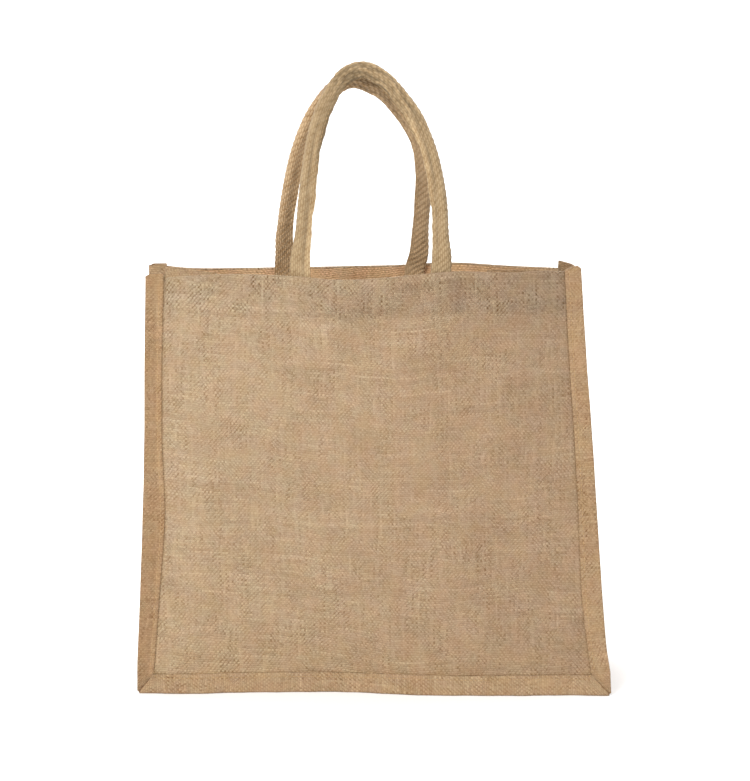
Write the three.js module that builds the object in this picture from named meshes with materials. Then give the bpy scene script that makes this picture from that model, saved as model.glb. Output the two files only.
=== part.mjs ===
// Jute tote bag, standing open on its foot seams, in millimetres with +Z up and its front towards -Y.
// Two hessian panels and one gusset strip make the body. The gusset's edges turn outward along the
// panels, wrap round the panels' edges and lie on their outer faces as a border. Two handles of folded
// webbing are sewn inside the panels' hems, and lean together above the mouth.

import * as THREE from "three";

// Driving dimensions
const rimHeight = 400;
const seamHeight = 17.5;
const clothThickness = 1.2;
const layerGap = 0.3;
const edgeGap = 0.7;
const hemDepth = 40;
const hemFoldRadius = 1;
const wallSpan = 4;
const deepestSag = 6;
const sagSharpness = 2;
const tuckSharpness = 1.35;
const middle = { x: 1.15, y: 1.45 };

const halfCloth = clothThickness / 2;
// Steps across and up a panel over which its edge's run and its outward direction are measured
const tangentStep = 0.04;
const normalStep = 0.02;
// How much of the panel's own turn towards front or back its side border follows
const tangentShare = 0.5;
// Cloth of the foot's fold that is lower than this is pressed flat on the surface
const pressedBelow = 0.4;
// From a panel's middle face to the middle face of the gusset cloth that lies against it
const lipOffset = clothThickness + layerGap;
const hemOffset = 2 * hemFoldRadius + lipOffset;
// Turns of the two folds, in degrees: the hem's over the rim, and the border's round the panel's edge
const rimFoldTurns = [0, 45, 90, 135, 180];
const edgeFoldTurns = [54, 18, -18, -54];

// The side seams and borders from foot to rim. x is the front seam's place and behind how much
// further along X the back one lies, border is the width outside it, front and back are how far
// each corner stands from the bag's middle plane, fold is how far the gusset tucks in between them.
const leftSide = [
  { height: 17.5, x: -213.0, behind: 0, border: 14.8, front: 82, back: 83, fold: 0 },
  { height: 45, x: -210.6, behind: 0, border: 16.2, front: 80, back: 81, fold: 5 },
  { height: 90, x: -207.4, behind: 0.6, border: 17.5, front: 75, back: 76, fold: 14 },
  { height: 170, x: -201.9, behind: 0.4, border: 20.4, front: 66, back: 68, fold: 28 },
  { height: 240, x: -204.2, behind: 0, border: 16.4, front: 59, back: 60, fold: 38 },
  { height: 320, x: -204.0, behind: -1.4, border: 15.8, front: 52, back: 53, fold: 46 },
  { height: 400, x: -202.0, behind: -4.0, border: 15.3, front: 45, back: 46, fold: 52 },
];
const rightSide = [
  { height: 17.5, x: 208.2, behind: 0, border: 17.4, front: 86, back: 84, fold: 0 },
  { height: 45, x: 204.4, behind: 0, border: 17.2, front: 80, back: 80, fold: 8 },
  { height: 90, x: 199.4, behind: -0.4, border: 18.6, front: 72, back: 73, fold: 22 },
  { height: 170, x: 195.8, behind: -0.6, border: 17.2, front: 60, back: 61, fold: 40 },
  { height: 240, x: 192.2, behind: -0.8, border: 16.4, front: 50, back: 50, fold: 53 },
  { height: 320, x: 186.8, behind: -1.2, border: 15.8, front: 40, back: 40, fold: 62 },
  { height: 400, x: 182.4, behind: -1.8, border: 15.4, front: 31, back: 31, fold: 68 },
];

// Each panel's rim and foot from the left seam to the right one. rim is the rim's height above or
// below the nominal one, bulge how far the rim and foot stand out from the line between the corners.
const frontEdges = [
  { across: 0, rim: -3.6, rimBulge: 0, footBulge: 0 },
  { across: 0.09, rim: -0.8, rimBulge: 8, footBulge: 0 },
  { across: 0.18, rim: 1.0, rimBulge: 15, footBulge: -4 },
  { across: 0.32, rim: -0.4, rimBulge: 23, footBulge: -9 },
  { across: 0.44, rim: -3.9, rimBulge: 26, footBulge: -7 },
  { across: 0.54, rim: -2.4, rimBulge: 26, footBulge: -3 },
  { across: 0.64, rim: 1.2, rimBulge: 25, footBulge: 3 },
  { across: 0.72, rim: 3.2, rimBulge: 21, footBulge: 4.5 },
  { across: 0.86, rim: 1.2, rimBulge: 13, footBulge: 2.6 },
  { across: 0.95, rim: 2.2, rimBulge: 5, footBulge: 0.6 },
  { across: 1, rim: 1.1, rimBulge: 0, footBulge: 0 },
];
const backEdges = [
  { across: 0, rim: -3.0, rimBulge: 0, footBulge: 0 },
  { across: 0.09, rim: -3.6, rimBulge: 7, footBulge: 1.2 },
  { across: 0.25, rim: -3.8, rimBulge: 17, footBulge: 4.5 },
  { across: 0.4, rim: -3.0, rimBulge: 23, footBulge: 2 },
  { across: 0.5, rim: -2.3, rimBulge: 25, footBulge: -3 },
  { across: 0.6, rim: -1.2, rimBulge: 24, footBulge: -5 },
  { across: 0.73, rim: 1.8, rimBulge: 19, footBulge: -2 },
  { across: 0.87, rim: -0.2, rimBulge: 11, footBulge: 1 },
  { across: 1, rim: -1.4, rimBulge: 0, footBulge: 0 },
];

// Soft hollows and swellings of each panel: the middle and half size as shares of the panel across
// and up, the lean of its long axis, and how far it stands out.
const frontFolds = [
  { across: 0.34, up: 0.93, wide: 0.08, high: 0.14, lean: 0, rise: 1.4 },
  { across: 0.5, up: 0.93, wide: 0.1, high: 0.1, lean: 0, rise: -2.2 },
  { across: 0.69, up: 0.93, wide: 0.08, high: 0.14, lean: 0, rise: 1.6 },
  { across: 0.785, up: 0.9, wide: 0.05, high: 0.12, lean: 0, rise: -2.4 },
  { across: 0.12, up: 0.72, wide: 0.1, high: 0.3, lean: -0.2, rise: 2.4 },
  { across: 0.3, up: 0.45, wide: 0.16, high: 0.3, lean: 0.3, rise: -2.8 },
  { across: 0.62, up: 0.5, wide: 0.2, high: 0.32, lean: -0.3, rise: 3.4 },
  { across: 0.88, up: 0.16, wide: 0.07, high: 0.16, lean: 0.5, rise: -2.6 },
  { across: 0.9, up: 0.7, wide: 0.08, high: 0.22, lean: 0.1, rise: -2.2 },
];
const backFolds = [
  { across: 0.3, up: 0.93, wide: 0.08, high: 0.14, lean: 0, rise: 1.4 },
  { across: 0.63, up: 0.93, wide: 0.08, high: 0.14, lean: 0, rise: 1.4 },
  { across: 0.2, up: 0.5, wide: 0.14, high: 0.3, lean: 0.3, rise: -3.0 },
  { across: 0.55, up: 0.4, wide: 0.2, high: 0.3, lean: -0.3, rise: 3.6 },
  { across: 0.82, up: 0.6, wide: 0.1, high: 0.3, lean: 0.2, rise: -3.2 },
  { across: 0.45, up: 0.75, wide: 0.16, high: 0.12, lean: 0, rise: -2.0 },
];

const faces = {
  front: { way: -1, shift: 0, depth: "front", edges: frontEdges, folds: frontFolds },
  back: { way: 1, shift: 1, depth: "back", edges: backEdges, folds: backFolds },
};

// How far the border's top ends stand above the rim, at the seam and at the outer edge
const borderTops = {
  left: { front: { seam: 3.6, edge: 3.4 }, back: { seam: 4.2, edge: 3.6 }, dip: -4 },
  right: { front: { seam: 1.6, edge: 0.6 }, back: { seam: 6.6, edge: 2.4 }, dip: -8 },
};

// Where the cloth's grid lines run, as shares across and up a panel. Each handle's flat end lies
// between two neighbouring lines.
const hemShare = 1 - hemDepth / (rimHeight - seamHeight);
const hemMiddle = 0.95;
const slotWidensFrom = 0.86;
const acrossLines = {
  front: [0, 0.05, 0.1, 0.17, 0.24, 0.31, 0.375, 0.44, 0.51, 0.585, 0.66, 0.72, 0.78, 0.85, 0.92, 1],
  back: [0, 0.05, 0.1, 0.16, 0.21, 0.268, 0.333, 0.4, 0.47, 0.54, 0.602, 0.666, 0.74, 0.83, 0.92, 1],
};
const wallShares = [0, 0.08, 0.2, 0.35, 0.5, 0.65, 0.8, 0.92, 1];
const upLines = [0, 0.07, 0.16, 0.27, 0.4, 0.53, 0.66, 0.78, slotWidensFrom, hemShare, hemMiddle, 1];

// Each handle's centre line above the rim, from its left leg over the top to its right leg
const frontHandlePath = [
  { x: -70.8, y: -51.5, z: 416 },
  { x: -69.4, y: -46.2, z: 432 },
  { x: -66.2, y: -36.5, z: 469 },
  { x: -62.3, y: -28.0, z: 503 },
  { x: -55.9, y: -19.6, z: 537 },
  { x: -45.6, y: -12.4, z: 564.5 },
  { x: -31.0, y: -8.6, z: 585 },
  { x: -19.0, y: -7.2, z: 592.2 },
  { x: -7.0, y: -7.0, z: 592.6 },
  { x: 6.6, y: -8.2, z: 585.6 },
  { x: 21.4, y: -11.6, z: 571 },
  { x: 37.6, y: -17.2, z: 549.6 },
  { x: 51.8, y: -24.6, z: 517 },
  { x: 58.4, y: -31.0, z: 490 },
  { x: 62.1, y: -37.4, z: 464 },
  { x: 63.2, y: -46.2, z: 432 },
  { x: 63.4, y: -51.5, z: 414 },
];
const backHandlePath = [
  { x: -88.6, y: 51.5, z: 410 },
  { x: -89.6, y: 46.8, z: 426 },
  { x: -88.2, y: 41.4, z: 445 },
  { x: -81.4, y: 30.6, z: 486 },
  { x: -73.4, y: 22.8, z: 517 },
  { x: -60.2, y: 15.2, z: 548 },
  { x: -46.0, y: 9.8, z: 568 },
  { x: -32.4, y: 7.2, z: 580.4 },
  { x: -19.0, y: 6.8, z: 583.4 },
  { x: -5.0, y: 7.4, z: 579.4 },
  { x: 8.0, y: 9.6, z: 571.6 },
  { x: 26.4, y: 14.4, z: 552.6 },
  { x: 42.8, y: 21.4, z: 525 },
  { x: 48.0, y: 28.4, z: 494 },
  { x: 47.5, y: 36.8, z: 464 },
  { x: 44.8, y: 46.4, z: 428 },
  { x: 43.0, y: 51.5, z: 410 },
];
// Where each handle's flat ends lie across its panel, and the heights they are laid through
const handleEnds = {
  front: { left: 0.342, right: 0.688 },
  back: { left: 0.3, right: 0.634 },
};
const handleEndHeights = [0.915, hemMiddle, 0.985];

// The webbing's section in its tube and as its flat end: out is away from the loop's middle, the
// fin of joined selvedges is the part that points into the loop.
const tubeSection = [
  { out: 7.0, side: 0 },
  { out: 6.1, side: 3.4 },
  { out: 3.4, side: 5.4 },
  { out: 0.0, side: 5.7 },
  { out: -3.2, side: 4.2 },
  { out: -4.9, side: 1.9 },
  { out: -8.5, side: 1.4 },
  { out: -8.5, side: -1.4 },
  { out: -4.9, side: -1.9 },
  { out: -3.2, side: -4.2 },
  { out: 0.0, side: -5.7 },
  { out: 3.4, side: -5.4 },
  { out: 6.1, side: -3.4 },
];
const flatSection = [
  { out: 10.2, side: 0 },
  { out: 9.8, side: 1.3 },
  { out: 6.4, side: 2.0 },
  { out: 1.0, side: 2.1 },
  { out: -4.0, side: 2.0 },
  { out: -8.0, side: 1.9 },
  { out: -10.2, side: 1.1 },
  { out: -10.2, side: -1.1 },
  { out: -8.0, side: -1.9 },
  { out: -4.0, side: -2.0 },
  { out: 1.0, side: -2.1 },
  { out: 6.4, side: -2.0 },
  { out: 9.8, side: -1.3 },
];
const flatHalf = 2.1;
const handleGap = 0.7;
// Heights above the rim between which a leg turns from its flat end into the tube
const flatUntil = 2;
const roundFrom = 46;
const handleSteps = 54;

const looks = {
  panel: { color: 0xbf9f78, roughness: 0.95, metalness: 0 },
  gusset: { color: 0xbd9464, roughness: 0.95, metalness: 0 },
  handle: { color: 0xc2a26f, roughness: 0.9, metalness: 0 },
};

const { clamp, lerp, smoothstep } = THREE.MathUtils;

// Smooth reading of one column of a table at a value of its key column
function read(table, key, column, at) {
  const last = table.length - 1;
  const place = clamp(at, table[0][key], table[last][key]);
  let row = 0;
  while (row < last - 1 && place > table[row + 1][key]) row += 1;
  const before = table[Math.max(row - 1, 0)];
  const start = table[row];
  const end = table[row + 1];
  const after = table[Math.min(row + 2, last)];
  const span = end[key] - start[key];
  const share = (place - start[key]) / span;
  const slopeIn = ((end[column] - before[column]) / (end[key] - before[key])) * span;
  const slopeOut = ((after[column] - start[column]) / (after[key] - start[key])) * span;
  const s2 = share * share;
  const s3 = s2 * share;
  return (
    start[column] * (2 * s3 - 3 * s2 + 1) +
    slopeIn * (s3 - 2 * s2 + share) +
    end[column] * (3 * s2 - 2 * s3) +
    slopeOut * (s3 - s2)
  );
}

// Where a panel's side seam runs at a height
function seamX(face, side, height) {
  return read(side, "height", "x", height) + face.shift * read(side, "height", "behind", height);
}

// A point of a panel's middle face, by its share across and up
function panelPoint(name, across, up) {
  const face = faces[name];
  const height = lerp(seamHeight, rimHeight, up);
  const leftX = seamX(face, leftSide, height);
  const rightX = seamX(face, rightSide, height);
  const leftDepth = read(leftSide, "height", face.depth, height);
  const rightDepth = read(rightSide, "height", face.depth, height);
  const footBulge = read(face.edges, "across", "footBulge", across);
  const rimBulge = read(face.edges, "across", "rimBulge", across);
  const rim = read(face.edges, "across", "rim", across);
  let depth = lerp(leftDepth, rightDepth, across) + lerp(footBulge, rimBulge, smoothstep(up, 0, 1));
  for (const fold of face.folds) {
    const alongX = (across - fold.across - fold.lean * (up - fold.up)) / fold.wide;
    const alongZ = (up - fold.up) / fold.high;
    depth += fold.rise * Math.exp(-(alongX * alongX + alongZ * alongZ));
  }
  return new THREE.Vector3(
    lerp(leftX, rightX, across) + middle.x,
    face.way * depth + middle.y,
    height + rim * up * up,
  );
}

// The panel's outward direction there
function panelNormal(name, across, up) {
  const a = clamp(across, normalStep, 1 - normalStep);
  const b = clamp(up, normalStep, 1 - normalStep);
  const alongX = panelPoint(name, a + normalStep, b).sub(panelPoint(name, a - normalStep, b));
  const alongZ = panelPoint(name, a, b + normalStep).sub(panelPoint(name, a, b - normalStep));
  return alongX.cross(alongZ).normalize().multiplyScalar(-faces[name].way);
}

// The border's whole width beside the side seams, as a vector that runs on from the panel
function sideBorder(name, across, up) {
  const side = across === 0 ? leftSide : rightSide;
  const height = lerp(seamHeight, rimHeight, up);
  const inner = panelPoint(name, across === 0 ? tangentStep : 1 - tangentStep, up);
  const outward = panelPoint(name, across, up).sub(inner);
  outward.y *= tangentShare;
  outward.z = 0;
  return outward.setLength(read(side, "height", "border", height));
}

// The border's whole height below the foot seam, which reaches the floor
function footBorder(name, across) {
  const downward = panelPoint(name, across, 0).sub(panelPoint(name, across, tangentStep));
  downward.x = 0;
  return downward.multiplyScalar(-seamHeight / downward.z);
}

// The border at a seam point: its vector, mitred at the corners, and its width square to the seam
function borderAt(name, across, up) {
  const onSide = across === 0 || across === 1;
  const onFoot = up === 0;
  const side = onSide ? sideBorder(name, across, up) : new THREE.Vector3();
  const foot = onFoot ? footBorder(name, across) : new THREE.Vector3();
  const width = onSide && onFoot ? (side.length() + foot.length()) / 2 : side.length() + foot.length();
  return { vector: side.add(foot), width };
}

// The path of the seam: down the left side, along the foot, up the right side. A station is a grid
// line of both panels and a height.
function seamStations() {
  const lastLine = acrossLines.front.length - 1;
  const stations = [];
  for (const up of [...upLines].reverse()) stations.push({ line: 0, up });
  for (let line = 1; line <= lastLine; line += 1) stations.push({ line, up: 0 });
  for (const up of upLines.slice(1)) stations.push({ line: lastLine, up });
  return stations;
}

// A closed solid from a grid of points on a cloth's middle face
function thickSheet(rows, thickness) {
  const rowCount = rows.length;
  const columnCount = rows[0].length;
  const positions = [];
  const sides = [1, -1];
  for (const side of sides) {
    for (let i = 0; i < rowCount; i += 1) {
      for (let j = 0; j < columnCount; j += 1) {
        const alongRow = new THREE.Vector3().subVectors(
          rows[i][Math.min(j + 1, columnCount - 1)],
          rows[i][Math.max(j - 1, 0)],
        );
        const acrossRows = new THREE.Vector3().subVectors(
          rows[Math.min(i + 1, rowCount - 1)][j],
          rows[Math.max(i - 1, 0)][j],
        );
        const normal = alongRow.cross(acrossRows).normalize();
        positions.push(...rows[i][j].clone().addScaledVector(normal, (side * thickness) / 2));
      }
    }
  }
  const sheet = rowCount * columnCount;
  const at = (side, i, j) => side * sheet + i * columnCount + j;
  const index = [];
  const addQuad = (a, b, c, d) => index.push(a, b, c, a, c, d);
  for (let i = 0; i < rowCount - 1; i += 1) {
    for (let j = 0; j < columnCount - 1; j += 1) {
      addQuad(at(0, i, j), at(0, i, j + 1), at(0, i + 1, j + 1), at(0, i + 1, j));
      addQuad(at(1, i, j), at(1, i + 1, j), at(1, i + 1, j + 1), at(1, i, j + 1));
    }
  }
  for (let j = 0; j < columnCount - 1; j += 1) {
    const end = rowCount - 1;
    addQuad(at(0, 0, j), at(1, 0, j), at(1, 0, j + 1), at(0, 0, j + 1));
    addQuad(at(0, end, j + 1), at(1, end, j + 1), at(1, end, j), at(0, end, j));
  }
  for (let i = 0; i < rowCount - 1; i += 1) {
    const end = columnCount - 1;
    addQuad(at(0, i + 1, 0), at(1, i + 1, 0), at(1, i, 0), at(0, i, 0));
    addQuad(at(0, i, end), at(1, i, end), at(1, i + 1, end), at(0, i + 1, end));
  }
  return closedGeometry(positions, index);
}

// A geometry whose faces point out, whichever way round its points were made
function closedGeometry(positions, index) {
  const point = (k) => new THREE.Vector3().fromArray(positions, 3 * k);
  let volume = 0;
  for (let k = 0; k < index.length; k += 3) {
    volume += point(index[k]).dot(point(index[k + 1]).cross(point(index[k + 2])));
  }
  if (volume < 0) index.reverse();
  const geometry = new THREE.BufferGeometry();
  geometry.setAttribute("position", new THREE.Float32BufferAttribute(positions, 3));
  geometry.setIndex(index);
  geometry.computeVertexNormals();
  return geometry;
}

// Panel: from its edge inside the foot border up to the rim, over the fold and down the hem
function panelGeometry(name) {
  const lines = acrossLines[name];
  const edgeInset = lipOffset + halfCloth + edgeGap;
  const intoBorder = (point, vector, width) => point.addScaledVector(vector, 1 - edgeInset / width);
  const acrossRow = (up, offset) => {
    const inPanel = (across) =>
      panelPoint(name, across, up).addScaledVector(panelNormal(name, across, up), offset);
    const inBorder = (across) => {
      const border = sideBorder(name, across, up);
      return intoBorder(inPanel(across), border, border.length());
    };
    return [inBorder(0), ...lines.map(inPanel), inBorder(1)];
  };
  const footEdge = (across) => {
    const border = footBorder(name, across);
    return intoBorder(panelPoint(name, across, 0), border, border.length());
  };
  const footCorner = (across) => {
    const { vector, width } = borderAt(name, across, 0);
    return intoBorder(panelPoint(name, across, 0), vector, width);
  };
  const rows = [[footCorner(0), ...lines.map(footEdge), footCorner(1)]];
  for (const up of upLines.slice(0, -1)) rows.push(acrossRow(up, 0));
  for (const degrees of rimFoldTurns) {
    const angle = THREE.MathUtils.degToRad(degrees);
    const row = acrossRow(1, -hemFoldRadius * (1 - Math.cos(angle)));
    for (const point of row) point.z -= hemFoldRadius * (1 - Math.sin(angle)) + halfCloth;
    rows.push(row);
  }
  for (const up of [hemMiddle, hemShare]) rows.push(acrossRow(up, -2 * hemFoldRadius));
  // Each side edge runs straight from its foot corner to the second row, as the gusset's fold does
  const [corners, footRow, nextRow] = rows;
  for (const edge of [0, corners.length - 1]) {
    const share = (footRow[edge].z - corners[edge].z) / (nextRow[edge].z - corners[edge].z);
    footRow[edge].lerpVectors(corners[edge], nextRow[edge], share);
  }
  return thickSheet(rows, clothThickness);
}

// Half of the gusset's section at one seam station: the lip on the panel's outer face, the fold
// round the panel's edge and the layer behind the panel, back to the seam.
function borderHalf(name, station) {
  const across = acrossLines[name][station.line];
  const { up } = station;
  const seam = panelPoint(name, across, up);
  const { vector, width } = borderAt(name, across, up);
  const normal = panelNormal(name, across, up);
  const behind = lerp(lipOffset, hemOffset, smoothstep(up, slotWidensFrom, hemShare));
  const foldRadius = (lipOffset + behind) / 2;
  const foldMiddle = (lipOffset - behind) / 2;
  const straight = width - halfCloth - lipOffset;
  const rise = station.top ? station.top[name] : { seam: 0, edge: 0 };
  const at = (out, offset) => {
    const share = out / width;
    const point = seam.clone().addScaledVector(vector, share).addScaledVector(normal, offset);
    point.z += lerp(rise.seam, rise.edge, share);
    return point;
  };
  const lip = [at(0, lipOffset), at(straight / 2, lipOffset), at(straight, lipOffset)];
  const fold = edgeFoldTurns.map((degrees) => {
    const angle = THREE.MathUtils.degToRad(degrees);
    const out = straight + lipOffset * Math.cos(angle);
    return at(out, foldMiddle + foldRadius * Math.sin(angle));
  });
  const layer = [at(straight, -behind), at(straight / 2, -behind), at(halfCloth, -behind)];
  return {
    points: [...lip, ...fold, ...layer, at(0, -behind - halfCloth)],
    wall: at(0, -behind - wallSpan).sub(new THREE.Vector3(0, 0, rise.seam)),
  };
}

// How far the gusset's middle hangs down along the foot, and tucks in along the sides
function footSag({ line }) {
  const across = acrossLines.front[line];
  return new THREE.Vector3(0, 0, -deepestSag * Math.sin(Math.PI * across));
}
function sideTuck({ line, up }) {
  const side = line === 0 ? leftSide : rightSide;
  const tuck = read(side, "height", "fold", lerp(seamHeight, rimHeight, up));
  return new THREE.Vector3(line === 0 ? tuck : -tuck, 0, 0);
}

// The gusset's section at one station, from the front lip through the wall to the back lip
function gussetSection(station) {
  const front = borderHalf("front", station);
  const back = borderHalf("back", station);
  const onFoot = station.up === 0;
  const inward = onFoot ? footSag(station) : sideTuck(station);
  const sharpness = onFoot ? sagSharpness : tuckSharpness;
  const wall = [];
  for (const share of wallShares) {
    const point = new THREE.Vector3().lerpVectors(front.wall, back.wall, share);
    const tuck = 1 - Math.abs(2 * share - 1) ** sharpness;
    point.addScaledVector(inward, tuck);
    if (station.top) point.z += station.top.dip * tuck;
    wall.push(point);
  }
  return [...front.points, ...wall, ...back.points.reverse()];
}

function gussetGeometry() {
  const stations = seamStations();
  const first = { ...stations[0], top: borderTops.left };
  const last = { ...stations[stations.length - 1], top: borderTops.right };
  const geometry = thickSheet([first, ...stations, last].map(gussetSection), clothThickness);
  const points = geometry.attributes.position;
  for (let k = 0; k < points.count; k += 1) {
    if (points.getZ(k) < pressedBelow) points.setZ(k, 0);
  }
  return geometry;
}

// The flat stretch of a panel between two of its lines: a point of it, and its outward direction
function flatStretch(name, across, up) {
  const lines = acrossLines[name];
  const next = lines.findIndex((line) => line > across);
  const start = panelPoint(name, lines[next - 1], up);
  const end = panelPoint(name, lines[next], up);
  const share = (across - lines[next - 1]) / (lines[next] - lines[next - 1]);
  const upward = panelPoint(name, across, hemMiddle).sub(panelPoint(name, across, hemShare));
  const normal = end.clone().sub(start).cross(upward).normalize().multiplyScalar(-faces[name].way);
  return { point: start.lerp(end, share), normal };
}

// A handle: its flat ends lie against the hem's inner layer, its legs rise and meet over the mouth
function handleGeometry(name, path) {
  const ends = handleEnds[name];
  const clearance = 2 * hemFoldRadius + halfCloth + handleGap + flatHalf;
  const endPoint = (across, up) => {
    const { point, normal } = flatStretch(name, across, up);
    return point.addScaledVector(normal, -clearance);
  };
  const above = path.map(({ x, y, z }) => new THREE.Vector3(x + middle.x, y + middle.y, z));
  const left = handleEndHeights.map((up) => endPoint(ends.left, up));
  const right = handleEndHeights.map((up) => endPoint(ends.right, up)).reverse();
  const curve = new THREE.CatmullRomCurve3([...left, ...above, ...right], false, "centripetal");
  const top = above.reduce((highest, point) => (point.z > highest.z ? point : highest));
  const start = left[left.length - 1];
  const lean = new THREE.Vector3(0, top.y - start.y, top.z - start.z);
  const loopFacing = new THREE.Vector3(1, 0, 0).cross(lean).normalize();
  const endFacing = (across) =>
    flatStretch(name, across, hemMiddle).normal.multiplyScalar(-faces[name].way);
  const facings = { left: endFacing(ends.left), right: endFacing(ends.right) };
  const rings = [];
  for (let k = 0; k <= handleSteps; k += 1) {
    const along = k / handleSteps;
    const centre = curve.getPointAt(along);
    const tangent = curve.getTangentAt(along);
    const roundness = smoothstep(centre.z - rimHeight, flatUntil, roundFrom);
    const facing = facings[along < 0.5 ? "left" : "right"].clone().lerp(loopFacing, roundness);
    const out = new THREE.Vector3().crossVectors(facing, tangent).normalize();
    const side = new THREE.Vector3().crossVectors(tangent, out).normalize();
    rings.push(
      tubeSection.map((round, corner) => {
        const flat = flatSection[corner];
        return centre
          .clone()
          .addScaledVector(out, lerp(flat.out, round.out, roundness))
          .addScaledVector(side, lerp(flat.side, round.side, roundness));
      }),
    );
  }
  return closedTube(rings);
}

// A closed solid from rings of points, its two ends capped round their middles
function closedTube(rings) {
  const corners = rings[0].length;
  const positions = rings.flat().flatMap((point) => point.toArray());
  const index = [];
  for (let k = 0; k < rings.length - 1; k += 1) {
    for (let corner = 0; corner < corners; corner += 1) {
      const next = (corner + 1) % corners;
      const a = k * corners + corner;
      const b = k * corners + next;
      index.push(a, b, b + corners, a, b + corners, a + corners);
    }
  }
  const last = (rings.length - 1) * corners;
  for (let corner = 1; corner < corners - 1; corner += 1) {
    index.push(0, corner + 1, corner);
    index.push(last, last + corner, last + corner + 1);
  }
  return closedGeometry(positions, index);
}

function addPiece(group, name, geometry, look) {
  const mesh = new THREE.Mesh(geometry, new THREE.MeshStandardMaterial(look));
  mesh.name = name;
  group.add(mesh);
}

const bag = new THREE.Group();
addPiece(bag, "front_panel", panelGeometry("front"), looks.panel);
addPiece(bag, "back_panel", panelGeometry("back"), looks.panel);
addPiece(bag, "gusset", gussetGeometry(), looks.gusset);
addPiece(bag, "handle_front", handleGeometry("front", frontHandlePath), looks.handle);
addPiece(bag, "handle_back", handleGeometry("back", backHandlePath), looks.handle);

export default bag;
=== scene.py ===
import math

import bpy
import numpy as np
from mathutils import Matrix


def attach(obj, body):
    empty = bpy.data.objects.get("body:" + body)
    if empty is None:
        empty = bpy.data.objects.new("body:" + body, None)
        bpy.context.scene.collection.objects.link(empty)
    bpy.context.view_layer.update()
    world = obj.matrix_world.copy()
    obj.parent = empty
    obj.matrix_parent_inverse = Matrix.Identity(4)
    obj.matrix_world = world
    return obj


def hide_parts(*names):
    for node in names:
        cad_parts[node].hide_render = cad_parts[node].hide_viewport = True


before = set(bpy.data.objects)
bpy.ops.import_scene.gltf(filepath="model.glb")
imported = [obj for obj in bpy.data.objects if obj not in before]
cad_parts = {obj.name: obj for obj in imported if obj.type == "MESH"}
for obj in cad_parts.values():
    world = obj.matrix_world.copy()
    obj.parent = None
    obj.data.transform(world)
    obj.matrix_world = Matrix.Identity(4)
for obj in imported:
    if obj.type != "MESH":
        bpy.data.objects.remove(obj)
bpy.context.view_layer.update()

MM = 0.001
BODY = "root"
UV_NAME = "cloth"
TINT_NAME = "tint"

# Driving dimensions of the solids
RIM_HEIGHT = 400.0
SEAM_HEIGHT = 17.5
CLOTH = 1.2
LAYER_GAP = 0.3
EDGE_GAP = 0.7
HEM_DEPTH = 40.0
HEM_FOLD_RADIUS = 1.0
WALL_SPAN = 4.0
DEEPEST_SAG = 6.0
SAG_SHARPNESS = 2.0
TUCK_SHARPNESS = 1.35
MIDDLE = np.array([1.15, 1.45, 0.0])

# Shares of a panel over which its directions are taken, and how much of its slant a side border keeps
TANGENT_STEP = 0.04
NORMAL_STEP = 0.02
TANGENT_SHARE = 0.5

# Where the cloths lie behind each other
HALF_CLOTH = CLOTH / 2
LIP_OFFSET = CLOTH + LAYER_GAP
HEM_OFFSET = 2 * HEM_FOLD_RADIUS + LIP_OFFSET
HEM_SHARE = 1 - HEM_DEPTH / (RIM_HEIGHT - SEAM_HEIGHT)
SLOT_WIDENS_FROM = 0.86

# The side seams and borders from foot to rim, as in the solids
LEFT_SIDE = {
    "height": [17.5, 45, 90, 170, 240, 320, 400],
    "x": [-213.0, -210.6, -207.4, -201.9, -204.2, -204.0, -202.0],
    "behind": [0, 0, 0.6, 0.4, 0, -1.4, -4.0],
    "border": [14.8, 16.2, 17.5, 20.4, 16.4, 15.9, 16.9],
    "front": [82, 80, 75, 66, 59, 52, 45],
    "back": [83, 81, 76, 68, 60, 53, 46],
    "fold": [0, 5, 14, 28, 38, 46, 52],
}
RIGHT_SIDE = {
    "height": [17.5, 45, 90, 170, 240, 320, 400],
    "x": [208.2, 204.4, 199.4, 195.8, 192.2, 186.8, 182.4],
    "behind": [0, 0, -0.4, -0.6, -0.8, -1.2, -1.8],
    "border": [17.4, 17.2, 18.6, 17.2, 16.4, 15.8, 15.4],
    "front": [86, 80, 72, 60, 50, 40, 31],
    "back": [84, 80, 73, 61, 50, 40, 31],
    "fold": [0, 8, 22, 40, 53, 62, 68],
}

# Each panel's rim and foot from the left seam to the right one
FRONT_EDGES = {
    "across": [0, 0.09, 0.18, 0.32, 0.44, 0.54, 0.64, 0.72, 0.86, 0.95, 1],
    "rim": [-3.6, -0.8, 1.0, -0.4, -3.9, -2.4, 1.2, 3.2, 1.2, 2.2, 1.1],
    "rim_bulge": [0, 8, 15, 23, 26, 26, 25, 21, 13, 5, 0],
    "foot_bulge": [0, 0, -4, -9, -7, -3, 3, 4.5, 2.6, 0.6, 0],
}
BACK_EDGES = {
    "across": [0, 0.04, 0.09, 0.25, 0.4, 0.5, 0.6, 0.73, 0.87, 1],
    "rim": [-0.4, -2.4, -3.6, -3.8, -3.0, -2.3, -1.2, 1.8, -0.2, -1.4],
    "rim_bulge": [0, 3.2, 7, 17, 23, 25, 24, 19, 11, 0],
    "foot_bulge": [0, 0.5, 1.2, 4.5, 2, -3, -5, -2, 1, 0],
}

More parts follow.
